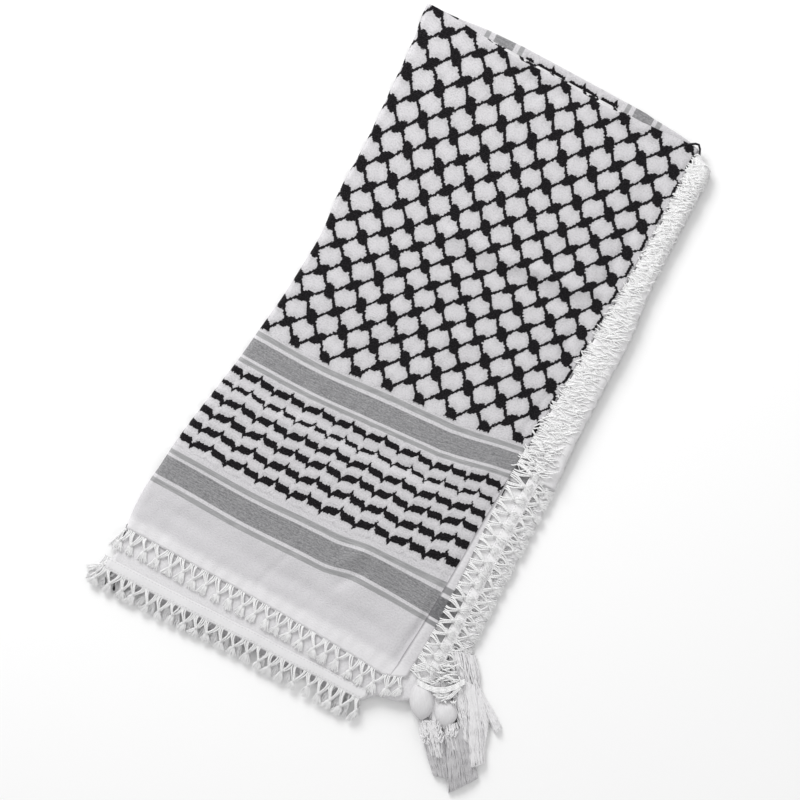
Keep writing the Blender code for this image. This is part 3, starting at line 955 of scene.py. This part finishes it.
def strandMesh(name, strands, sides=1):
    # Round strands through points in across, down and height, each with its own radii
    curve = bpy.data.curves.new(name + "Path", "CURVE")
    curve.dimensions = "3D"
    curve.bevel_depth = 0.001
    curve.bevel_resolution = sides
    curve.use_fill_caps = True
    for points, radii in strands:
        spline = curve.splines.new("POLY")
        spline.points.add(len(points) - 1)
        spots = np.column_stack([toRow(points), np.ones(len(points))])
        spline.points.foreach_set("co", spots.ravel())
        spline.points.foreach_set("radius", np.asarray(radii, float))
    holder = addObject(name + "Path", curve)
    graph = bpy.context.evaluated_depsgraph_get()
    mesh = bpy.data.meshes.new_from_object(holder.evaluated_get(graph), depsgraph=graph)
    bpy.data.objects.remove(holder)
    bpy.data.curves.remove(curve)
    mesh.name = name
    mesh.materials.clear()
    return mesh


def joinMeshes(name, meshes):
    # meshes is a list of meshes and the slot number that each takes
    whole = bmesh.new()
    for mesh, number in meshes:
        first = len(whole.faces)
        whole.from_mesh(mesh)
        whole.faces.ensure_lookup_table()
        for face in whole.faces[first:]:
            face.material_index = number
        bpy.data.meshes.remove(mesh)
    return meshFrom(name, whole)


def fringeStrands(seed, first, last, edge, knotShare=0.52, cords=None, tuft=None, phase=0.0):
    # edge gives a hem point, the way out, the reach and the heights at the hem and the tips
    chance = random.Random(seed)
    strands, found = [], {}

    def edgeAt(along):
        place = round(along * 2)
        if place not in found:
            found[place] = edge(place / 2)
        base, out, *rest = found[place]
        return base + (along - place / 2) * abs(out[::-1]), out, *rest

    count = max(2, round((last - first) / fringe["spacing"]))
    stations = [first + (last - first) * (index + 0.5 + phase) / count + chance.uniform(-1.9, 1.9)
                for index in range(count)]
    cords = cords or fringe["cords"]
    tuft = tuft or fringe["strands"]

    def point(along, outward, lift):
        base, out, reach, hemHeight, tipHeight = edgeAt(along)
        height = hemHeight + (tipHeight - hemHeight) * (outward / reach) + lift
        place = base + out * outward
        return (place[0], place[1], max(height, 0.7))

    knots = []
    for index in range(count + 1):
        before = stations[index - 1] if index else stations[0] - fringe["spacing"]
        after = stations[index] if index < count else stations[-1] + fringe["spacing"]
        middle = (before + after) / 2 + chance.uniform(-1.0, 1.0)
        reach = edgeAt(middle)[2]
        knots.append((middle, reach * (knotShare + chance.uniform(-0.08, 0.07)), reach))
    for index, station in enumerate(stations):
        for side, knot in ((-1, knots[index]), (1, knots[index + 1])):
            middle, out, reach = knot
            for cord in range(cords):
                spread = cord - (cords - 1) / 2
                begin = station + side * (1.75 + spread * fringe["cordSpread"])
                begin += chance.uniform(-0.3, 0.3)
                finish = middle + side * -0.7 + spread * 0.85 * side
                bend = chance.uniform(-0.7, 0.7) - side * fringe["cordBow"]
                lift = 0.35 + 0.22 * cord + chance.uniform(-0.1, 0.15)
                points, radii = [], []
                for stage in range(6):
                    share = stage / 5
                    smooth = share * share * (3 - 2 * share)
                    bow = math.sin(share * math.pi)
                    along = begin + (finish - begin) * (0.3 * share + 0.7 * smooth) + bend * bow
                    points.append(point(along, -0.7 + (out + 0.7) * share, lift + 0.75 * bow))
                    uneven = chance.uniform(0.92, 1.08)
                    radii.append(fringe["cordRadius"] * (1 + 0.12 * bow) * uneven)
                strands.append((points, radii))
    for index, (middle, out, reach) in enumerate(knots):
        if middle < first - 5 or middle > last + 5:
            continue
        fat = fringe["knotRadius"] * chance.uniform(0.85, 1.12)
        lift = 0.7
        knot = [point(middle + chance.uniform(-0.2, 0.2), out + step, lift)
                for step in (-1.9, -0.9, 0.0, 0.9, 2.0)]
        strands.append((knot, [0.6, fat * 0.85, fat, fat * 0.88, 0.7]))
        for turn in (-0.75, 0.35):
            wrap = [point(middle + step * 0.62 * fat, out + turn + step * 0.35,
                          lift + fat * (0.95 - 0.35 * step * step))
                    for step in (-1.5, -0.8, 0, 0.8, 1.5)]
            strands.append((wrap, [0.45, 0.58, 0.6, 0.58, 0.45]))
        lean, wide = chance.uniform(-2.0, 2.0), chance.uniform(*fringe["tuftWidth"])
        for strand in range(tuft):
            fan = (strand + 0.5) / tuft * 2 - 1
            length = (reach - out) * (1.03 - 0.16 * fan * fan) * chance.uniform(0.78, 1.05)
            wave, start = chance.uniform(0.15, 0.55), chance.uniform(0, 6.28)
            rise = chance.uniform(-0.5, 0.9)
            points, radii = [], []
            for stage in range(6):
                share = stage / 5
                side = fan * (1.0 + wide * share ** 0.8) + lean * share
                side += wave * math.sin(share * 7 + start)
                points.append(point(middle + side, out + 0.8 + length * share,
                                    0.6 + rise * share * (1.6 - share)))
                radii.append(fringe["strandRadius"] * (1.15 - 0.45 * share))
            strands.append((points, radii))
    return strands


# Matted fringes: their outer edge rolls down over a width, and their top end slants
mat = {"roll": 7, "drop": 4.0, "slantFrom": 26, "slant": 0.35, "columns": 12, "rowStep": 2.4,
       "wall": 0.5}


def mattedStrands(seed, count, start, end, fromHem="frontHem", low=0.0, thin=1.3):
    # Flattened threads where the right fringes lie matted together
    chance = random.Random(seed)
    strands = []
    for _ in range(count):
        down = start + (end - start) * chance.random() ** thin
        inner = planAt(fromHem, down)
        outer = planAt("secondHem", down) + planAt("fringeReach", down)
        begin = inner + (outer - inner) * chance.uniform(-0.14, 0.62)
        length = min(chance.uniform(7, 15), outer - begin + chance.uniform(-3, 0.5))
        lean, phase = chance.gauss(-1.5, 4.0), chance.uniform(0, 6.28)
        wave = chance.uniform(0.3, 1.6)
        lean += max(mat["slantFrom"] - down, 0) * mat["slant"]
        down += max(24 - down, 0) * (begin - inner) / 24
        lift = chance.uniform(0.0, 1.3) - low
        points = []
        for stage in range(7):
            share = stage / 6
            across = begin + length * share
            past = max((across - outer + mat["roll"]) / mat["roll"], 0)
            over = min(max((inner + 2 - across) / 2.5, 0), 1) * (0.9 - 0.4 * lift)
            height = packet["secondHeight"] + 2.1 + lift + over
            height += 0.5 * math.sin(share * math.pi) - mat["drop"] * past
            strayed = down + lean * share + wave * math.sin(share * 6 + phase)
            points.append((across, strayed, height))
        strands.append((points, [0.45, 0.6, 0.62, 0.62, 0.6, 0.5, 0.35]))
    return strands


def matMesh(name, start, end, fromHem, inset, low, top):
    # The felted bed that matted threads lie in: a thin closed band
    columns, rows = mat["columns"], round((end - start) / mat["rowStep"])

    def place(column, row):
        down = start + (end - start) * row / rows
        inner = plan(fromHem, down) - inset
        outer = plan("secondHem", down) + plan("fringeReach", down)
        share = column / columns
        ragged = 1.6 + 0.7 * ripple(down, down * 0, 9, 91) + 0.4 * ripple(down, down * 0, 4, 92)
        across = inner + (outer - ragged - inner) * share
        past = np.clip((across - outer + mat["roll"]) / mat["roll"], 0, None)
        ending = ramp(down + 7 * ripple(across, down, 20, 94), end - 34, 26)
        height = packet["secondHeight"] + top - low - mat["drop"] * past - 2.2 * ending
        height += 0.22 * ripple(across, down, 7, 93)
        slope = np.clip(mat["slantFrom"] - down, 0, None) * mat["slant"] * share
        places = np.stack([across, down + slope, np.maximum(height, 1.0)], 1)
        return places, np.stack([across, -down], 1)

    mesh = clothGrid(name, columns, rows, place)
    bed = bmesh.new()
    bed.from_mesh(mesh)
    bmesh.ops.solidify(bed, geom=bed.faces[:], thickness=mat["wall"] * 0.001)
    bed.to_mesh(mesh)
    bed.free()
    return mesh


def lowerEdge(hemColumn, tipColumn, inset, hemHeight, tipHeight, damp=1.0, reachMore=0.0):
    def edge(across):
        down = planAt(hemColumn, across, "across") - inset
        tips = planAt(tipColumn, across, "across") if tipColumn else down + 20.5
        tips += reachMore
        rise = float(outerRelief([across], [down])[0]) * damp
        way = np.array([0.0, 1.0])
        return np.array([across, down]), way, tips - down, hemHeight + rise, tipHeight + rise
    return edge


def rightEdge(hemColumn, outset, reach, hemHeight, tipHeight, damp=1.0):
    def edge(down):
        across = planAt(hemColumn, down) + outset
        rise = float(relief([281.0], [down])[0]) * damp
        way = np.array([1.0, 0.0])
        return np.array([across, down]), way, reach(down), hemHeight + rise, tipHeight + rise
    return edge


def makeFringe(name, strands, material, slot, node, sides=1, bed=None):
    mesh = strandMesh(name, strands, sides)
    # A bed takes the darker bed yarn, painted shade between the threads
    if bed:
        mesh = joinMeshes(name, [(mesh, 0), (bed, 1)])
    return finishPiece(mesh, name, [material, bedYarnPaintedShade] if bed else [material], slot, node)


print("fringes")
second = packet["secondHeight"]
onSecond = second + 1.1


def looseTuft(seed, start, end, count=16, spread=4.2):
    # A knotted tuft that strays sideways: start and end give across, down and height
    chance = random.Random(seed)
    run = (end[0] - start[0], end[1] - start[1])
    length = math.hypot(*run)
    side = (run[1] / length, -run[0] / length)
    strands = []
    for strand in range(count):
        fan = (strand + 0.5) / count * 2 - 1
        reach = chance.uniform(0.86, 1.02)
        points, radii = [], []
        for share in (0, 0.2, 0.4, 0.6, 0.8, 1):
            wide = fan * (2.0 * max(0.45 - share, 0) + 0.5 + spread * max(share - 0.4, 0) ** 0.8)
            wide += chance.uniform(-0.15, 0.15)
            points.append((start[0] + run[0] * share * reach + side[0] * wide,
                           start[1] + run[1] * share * reach + side[1] * wide,
                           start[2] + (end[2] - start[2]) * share + chance.uniform(0, 0.7)))
            radii.append(0.62 - 0.2 * share)
        strands.append((points, radii))
    return strands


def frontReach(down):
    between = planAt("secondHem", down) - planAt("frontHem", down) - 4.5
    return between + 7 * min(max((350 - down) / 80, 0), 1)


def sideReach(more):
    return lambda down: planAt("fringeReach", down) + more


def sideEdge(outset, more, hemHeight, tipHeight, damp=0.0):
    return rightEdge("secondHem", outset, sideReach(more), hemHeight, tipHeight, damp)


def hiddenLower(inset, hemHeight, tipHeight, shorter):
    return lowerEdge("secondLower", "lowerTips", inset, hemHeight, tipHeight, 0.0, -shorter)


edge = lowerEdge("frontLower", None, 0.2, onSecond + 0.5, onSecond - 0.2)
strands = fringeStrands(41, -12, 281, edge) + looseTuft(51, (-12.5, 557, 9.5), (-17.5, 579, 5.5))
makeFringe("frontFringeLower", strands, fringeYarn, "fringe_yarn", "front_fringe_lower")

edge = rightEdge("frontHem", -0.2, frontReach, onSecond + 0.6, onSecond + 0.2, 0.85)
strands = fringeStrands(42, 12, 550, edge, 0.62) + mattedStrands(49, 780, 3, 336, thin=1.15)
makeFringe("frontFringeRight", strands, fringeYarn, "fringe_yarn", "front_fringe_right",
           bed=matMesh("frontBed", 3, 338, "frontHem", -1.0, 0.0, 2.55))

edge = lowerEdge("secondLower", "lowerTips", 0.3, second - 1.0, 4.6, 0.6)
strands = fringeStrands(43, -14, 254, edge) + looseTuft(52, (-11, 592, 7.5), (-27, 607, 3.0))
strands += looseTuft(53, (-12, 596, 6.0), (-20, 614, 2.2), 12, 3.4)
makeFringe("secondFringeLower", strands, fringeYarn, "fringe_yarn", "second_fringe_lower")

strands = fringeStrands(44, 19, 545, sideEdge(-0.2, 0, second - 0.9, 4.6, 0.6), 0.5)
makeFringe("secondFringeRight", strands, fringeYarn, "fringe_yarn", "second_fringe_right")

strands = []
for seed, start, end in ((45, -22, 138), (55, 150, 190), (56, 218, 250)):
    edge, deepEdge = hiddenLower(8.0, 6.4, 3.0, 1.0), hiddenLower(10.0, 3.4, 1.4, 2.0)
    strands += fringeStrands(seed, start, end, edge, 0.5, 2, 9, 0.45)
    if seed != 55:
        strands += fringeStrands(seed + 12, start, end, deepEdge, 0.5, 2, 8, 0.2)
makeFringe("lowerFringeLower", strands, lowerYarn, "lower_yarn", "lower_fringe_lower", 0)

strands = fringeStrands(47, 19, 520, sideEdge(-6, 4.5, 6.4, 2.6), 0.5, 2, 9, 0.45)
strands += mattedStrands(50, 700, 14, 520, "secondHem", 5.5, 1.0)
strands += fringeStrands(48, 20, 516, sideEdge(-9, 6, 3.4, 1.2), 0.5, 2, 7, 0.2)
makeFringe("lowerFringeRight", strands, lowerYarn, "lower_yarn", "lower_fringe_right", 0,
           matMesh("lowerBed", 12, 528, "secondHem", 7, 5.5, 2.6))


# ---- tassels

print("tassels")
hang = (261.1, 541.5)
hangSide, hangFall = (0.879, -0.477), (0.477, 0.879)


def tasselPoint(side, fall, height):
    return (hang[0] + hangSide[0] * side + hangFall[0] * fall,
            hang[1] + hangSide[1] * side + hangFall[1] * fall, max(height, 0.4))


def tasselHead(name, middle, halfSide, halfFall, height, squeeze):
    ball = bmesh.new()
    bmesh.ops.create_uvsphere(ball, u_segments=40, v_segments=26, radius=1.0, calc_uvs=False)
    layer = ball.loops.layers.uv.new("flat")
    for face in ball.faces:
        for corner in face.loops:
            spot = corner.vert.co
            corner[layer].uv = (math.atan2(spot.y, spot.x) / 6.28, spot.z)
    for vert in ball.verts:
        spot = vert.co.copy()
        taper = 1 - squeeze * max(-spot.z, 0) ** 2 + 0.05 * squeeze
        side = middle[0] + halfSide * spot.x * taper
        fall = middle[1] - halfFall * spot.z
        lump = 0.015 * math.sin(spot.x * 5 + spot.z * 3 + middle[0])
        lump += 0.012 * math.sin(spot.z * 6 - spot.x * 4)
        side, fall = side + halfSide * lump, fall + halfSide * 0.5 * lump
        lift = height / 2 + height / 2 * spot.y * taper * (1 + lump)
        vert.co = Vector(toRow([tasselPoint(side, fall, lift)])[0])
    bmesh.ops.recalc_face_normals(ball, faces=ball.faces)
    return meshFrom(name, ball)


def skirtStrands(seed, count, top, bottom, thick, radius=0.5, wave=0.7, stages=8):
    # top and bottom: left and right ends of the skirt's upper and lower edges, as side and fall
    chance = random.Random(seed)
    strands = []

    def between(ends, share):
        return [start + (stop - start) * share for start, stop in zip(*ends)]

    for _ in range(count):
        share = chance.random()
        begin = between(top, share)
        landing = min(max(share + chance.uniform(-0.10, 0.10), 0), 1)
        finish = between(bottom, landing)
        finish[1] -= chance.uniform(0, 5.0) if chance.random() < 0.6 else chance.uniform(0, 1.0)
        arch = max(1 - (2 * share - 1) ** 2, 0.0) ** 0.35
        level = chance.uniform(0.06, 1.0) ** 0.35
        phase, pitch = chance.uniform(0, 6.28), chance.uniform(4, 8)
        points, radii = [], []
        for stage in range(stages):
            part = stage / (stages - 1)
            side, fall = between((begin, finish), part)
            side += wave * math.sin(part * pitch + phase) * math.sin(part * math.pi)
            high = thick[0] + (thick[1] - thick[0]) * part
            points.append(tasselPoint(side, fall, max(0.6 + high * arch * level, radius * 1.25)))
            radii.append(radius * (1.1 - 0.45 * part) * chance.uniform(0.9, 1.1))
        strands.append((points, radii))
    return strands


def loopStrands(seed, count, low, high, thick, size):
    # Small curls of yarn that stand up from a tassel's neck
    chance = random.Random(seed)
    strands = []
    for _ in range(count):
        side, fall = chance.uniform(low[0], high[0]), chance.uniform(low[1], high[1])
        turn, reach = chance.uniform(-0.5, 0.5), size * chance.uniform(0.6, 1.2)
        arch = thick * chance.uniform(0.75, 1.05)
        points = []
        for stage in range(8):
            part = stage / 7
            bow = math.sin(part * math.pi)
            out = bow * reach
            run = (part - 0.5) * reach * 0.75
            points.append(tasselPoint(
                side + run * math.cos(turn) - out * 0.3 * math.sin(turn),
                fall + out * 0.9 + run * math.sin(turn), arch + 1.1 * bow))
        strands.append((points, [0.5] * 8))
    return strands


def makeTassel(name, head, strands, node, shaded=()):
    meshes = [(strandMesh(name + "Strands", strands, 1), 0)]
    # The shaded strands take the third, darker yarn: painted shade
    if shaded:
        meshes.append((strandMesh(name + "Shade", shaded, 1), 2))
    if head:
        meshes.append((tasselHead(name + "Head", *head), 1))
    mesh = joinMeshes(name, meshes)
    return finishPiece(mesh, name, [tasselYarn, headYarn, paintedShadeYarn], "tassel_yarn", node)


makeTassel(
    "tasselFront", ((24.8, 41.5), 11.6, 18.4, 16.0, 0.22),
    skirtStrands(61, 90, ((22, 62), (41, 61)), ((31, 92), (46, 96)), (12.5, 10), 0.6, 1.0)
    + loopStrands(63, 70, (24, 60), (43, 76), 11.0, 7.5)
    + skirtStrands(73, 14, ((24, 60), (41, 61)), ((33, 90), (44, 92)), (9, 7), 2.2, 0.2)
    + skirtStrands(81, 18, ((28, 24), (50, 26)), ((33, 66), (50, 70)), (6.5, 7), 2.4, 0.3)
    + skirtStrands(82, 50, ((30, 24), (50, 26)), ((36, 66), (52, 70)), (8.5, 9), 0.66, 0.6),
    "tassel_front",
    skirtStrands(62, 190, ((24, 70), (45, 74)), ((35.5, 112), (50, 115)), (10, 5.5), 0.6, 0.8)
    + skirtStrands(74, 12, ((28, 76), (44, 78)), ((38, 106), (47, 108)), (7, 3.5), 1.9, 0.2))
makeTassel(
    "tasselSecond", ((46.9, 53.8), 10.6, 13.2, 14.5, 0.15),
    loopStrands(65, 26, (48.5, 66), (57, 72), 11.5, 4.0)
    + skirtStrands(75, 60, ((44, 64), (58, 62)), ((46, 86), (66, 90)), (11, 9.5), 0.6, 0.9),
    "tassel_second",
    skirtStrands(64, 300, ((46, 72), (66, 66)), ((49.5, 128.5), (76.5, 115)), (11, 5), 0.6, 0.9)
    + skirtStrands(76, 18, ((48, 74), (64, 70)), ((52, 121), (72, 110)), (8, 3.5), 2.1, 0.2))
makeTassel(
    "tasselThird", None,
    skirtStrands(79, 90, ((47, -6), (74, 1)), ((58, 34), (80, 37)), (10, 8), 0.66, 1.1, 10)
    + skirtStrands(80, 10, ((50, -4), (70, 0)), ((60, 34), (77, 36)), (6.5, 6), 2.4, 0.4)
    + skirtStrands(66, 190, ((58, 20), (77, 30)), ((67, 105), (83, 101)), (8.5, 7), 0.62, 1.9, 14)
    + skirtStrands(67, 60, ((53, 33), (64, 30)), ((61, 76), (68, 82)), (11.5, 9.5), 0.6, 2.0, 12)
    + skirtStrands(68, 50, ((76, 28), (80, 34)), ((83, 86), (87, 62)), (6.5, 5.5), 0.6, 1.2, 10)
    + skirtStrands(77, 16, ((62, 26), (76, 32)), ((70, 98), (81, 96)), (5.5, 4.5), 2.2, 0.8),
    "tassel_third")
makeTassel(
    "tasselFourth", None,
    skirtStrands(69, 60, ((71, 22), (79, 34)), ((92, 73.5), (98, 69.5)), (6.0, 5.0), 0.62, 0.7, 10)
    + skirtStrands(78, 6, ((73, 26), (78, 34)), ((93.5, 70.5), (96.5, 68.5)), (4.3, 3.2), 1.8, 0.3),
    "tassel_fourth")


def curls(chance, count, sides, falls, turns, sizes, squash, lift, swell, pitch, radii):
    # Short curls of yarn scattered over an area
    strands = []
    for _ in range(count):
        side, fall = chance.uniform(*sides), chance.uniform(*falls)
        turn, size = chance.uniform(*turns), chance.uniform(*sizes)
        points = [tasselPoint(side + math.cos(turn) * size * step,
                              fall + math.sin(turn) * size * step * squash,
                              lift + swell * math.cos(step * pitch))
                  for step in (-1, -0.6, -0.2, 0.2, 0.6, 1)]
        strands.append((points, radii))
    return strands


def cordWraps():
    # The knotted cords that gather the corners above the tassels
    chance = random.Random(71)
    band = [(20.5, 22.0, 12.6), (27, 26.2, 13.4), (36.8, 29.2, 14.6),
            (46, 29.6, 14.8), (55, 26.8, 14.0), (64, 22.2, 11.5)]
    strands = []
    for row in range(4):
        points = [tasselPoint(side, fall + row * 1.25, height + 0.3 * row)
                  for side, fall, height in band]
        strands.append((points, [0.62] * 6))
    for fan in range(5):
        points = [tasselPoint(17.5 + step * 2.1, 14.6 - fan * 1.15 - step * (0.3 + fan * 0.12),
                              12.8 + 0.9 * math.sin(step / 5 * 3.14)) for step in range(6)]
        strands.append((points, [0.6] * 6))
    strands += curls(chance, 26, (37, 56), (31, 43), (0, 3.14), (2.0, 3.8), 0.6,
                     13.4, 1.2, 1.4, [0.55, 0.75, 0.85, 0.85, 0.75, 0.55])
    for row in range(3):
        points = [tasselPoint(49.5 + step * 2.4 + row * 0.9, 37.2 - step * 2.3 + row * 0.7, 14.6)
                  for step in range(5)]
        strands.append((points, [0.6] * 5))
    return strands + curls(chance, 40, (27, 62), (8, 26), (-0.5, 1.2), (2.0, 5.0), 1,
                           11.6, 0.8, 1.5, [0.5, 0.6, 0.65, 0.65, 0.6, 0.5])


def makeYarn(name, strands, material, slot):
    finishPiece(strandMesh(name, strands), name, [material], slot)


makeYarn("cornerCords", cordWraps(), fringeYarn, "tassel_yarn")
makeYarn("cornerLoop", [([(273, 0.5, 11.6), (276, -1.6, 11.8), (279.5, -4.0, 11.8),
                          (282.6, -4.6, 11.6), (285.4, -1.6, 11.0), (288.2, 3.6, 10.6)],
                         [0.9, 1.15, 1.1, 1.1, 1.1, 0.7])], blackYarn, "front_cloth")

# Black yarn ends that show at the lower left corner
makeYarn("blackEnds", [
    ([(-13.2, 553, 8.6), (-11.6, 560, 8.8), (-11.0, 568, 8.6), (-11.6, 575, 8.2),
      (-12.4, 577.5, 7.8)], [0.35, 0.5, 0.45, 0.8, 1.1]),
    ([(1.5, 604, 7.2), (2.6, 608, 7.4), (4.2, 611.5, 7.2), (4.8, 613, 6.6)],
     [0.3, 0.5, 1.25, 0.9]),
    ([(-7.5, 606, 6.6), (-5.5, 609, 6.8), (-4.6, 612.5, 6.2)], [0.4, 0.6, 0.5]),
], blackYarn, "fringe_yarn")

# ---- floor, light and camera

print("stage")
stage = {
    "floor": 6.0,
    "floorColour": (0.93, 0.93, 0.93),
    "skyStrength": 0.66,
    "centre": (153, 332.8, 11),   # what the camera looks at, in millimetres of the packet
    "turn": 28.5,                 # degrees
    "lens": 90.0,
    "sensor": 36.0,
    "viewWidth": 0.736,
    # Each light's place right, up and above the centre, then its size and power
    "key": ((-0.7, 1.5, 1.15), 0.9, 32.0),
    "fill": ((1.3, -0.5, 1.5), 1.6, 3.5),
}
floorShape = bmesh.new()
bmesh.ops.create_grid(floorShape, x_segments=1, y_segments=1, size=stage["floor"] / 2)
floor = addObject("floor", meshFrom("floor", floorShape))
floor.data.materials.append(Finish("paleFloor", stage["floorColour"], 0.9).material)
floor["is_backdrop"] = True

world = bpy.data.worlds.new("studio")
bpy.context.scene.world = world
world.use_nodes = True
sky = world.node_tree.nodes["Background"]
sky.inputs["Color"].default_value = (1.0, 1.0, 1.0, 1.0)
sky.inputs["Strength"].default_value = stage["skyStrength"]


cameraTurn = math.radians(stage["turn"])
seen = Vector(toRow([stage["centre"]])[0])
viewRight = Vector((math.cos(cameraTurn), math.sin(cameraTurn), 0))
viewUp = Vector((-math.sin(cameraTurn), math.cos(cameraTurn), 0))


def areaLight(name):
    (right, up, above), size, power = stage[name]
    data = bpy.data.lights.new(name, "AREA")
    data.size = size
    data.energy = power
    lamp = addObject(name, data)
    lamp.location = seen + viewRight * right + viewUp * up + Vector((0, 0, above))
    lamp.rotation_mode = "QUATERNION"
    lamp.rotation_quaternion = (seen - lamp.location).to_track_quat("-Z", "Y")


areaLight("key")
areaLight("fill")

cameraData = bpy.data.cameras.new("camera")
cameraData.lens = stage["lens"]
camera = addObject("camera", cameraData)
camera.location = seen + Vector((0, 0, stage["viewWidth"] * stage["lens"] / stage["sensor"]))
camera.rotation_euler = (0, 0, cameraTurn)
bpy.context.scene.camera = camera
bpy.context.scene.view_settings.view_transform = "Standard"

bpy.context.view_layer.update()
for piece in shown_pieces():
    if piece.type == "MESH":
        print(piece.name, len(piece.data.polygons))
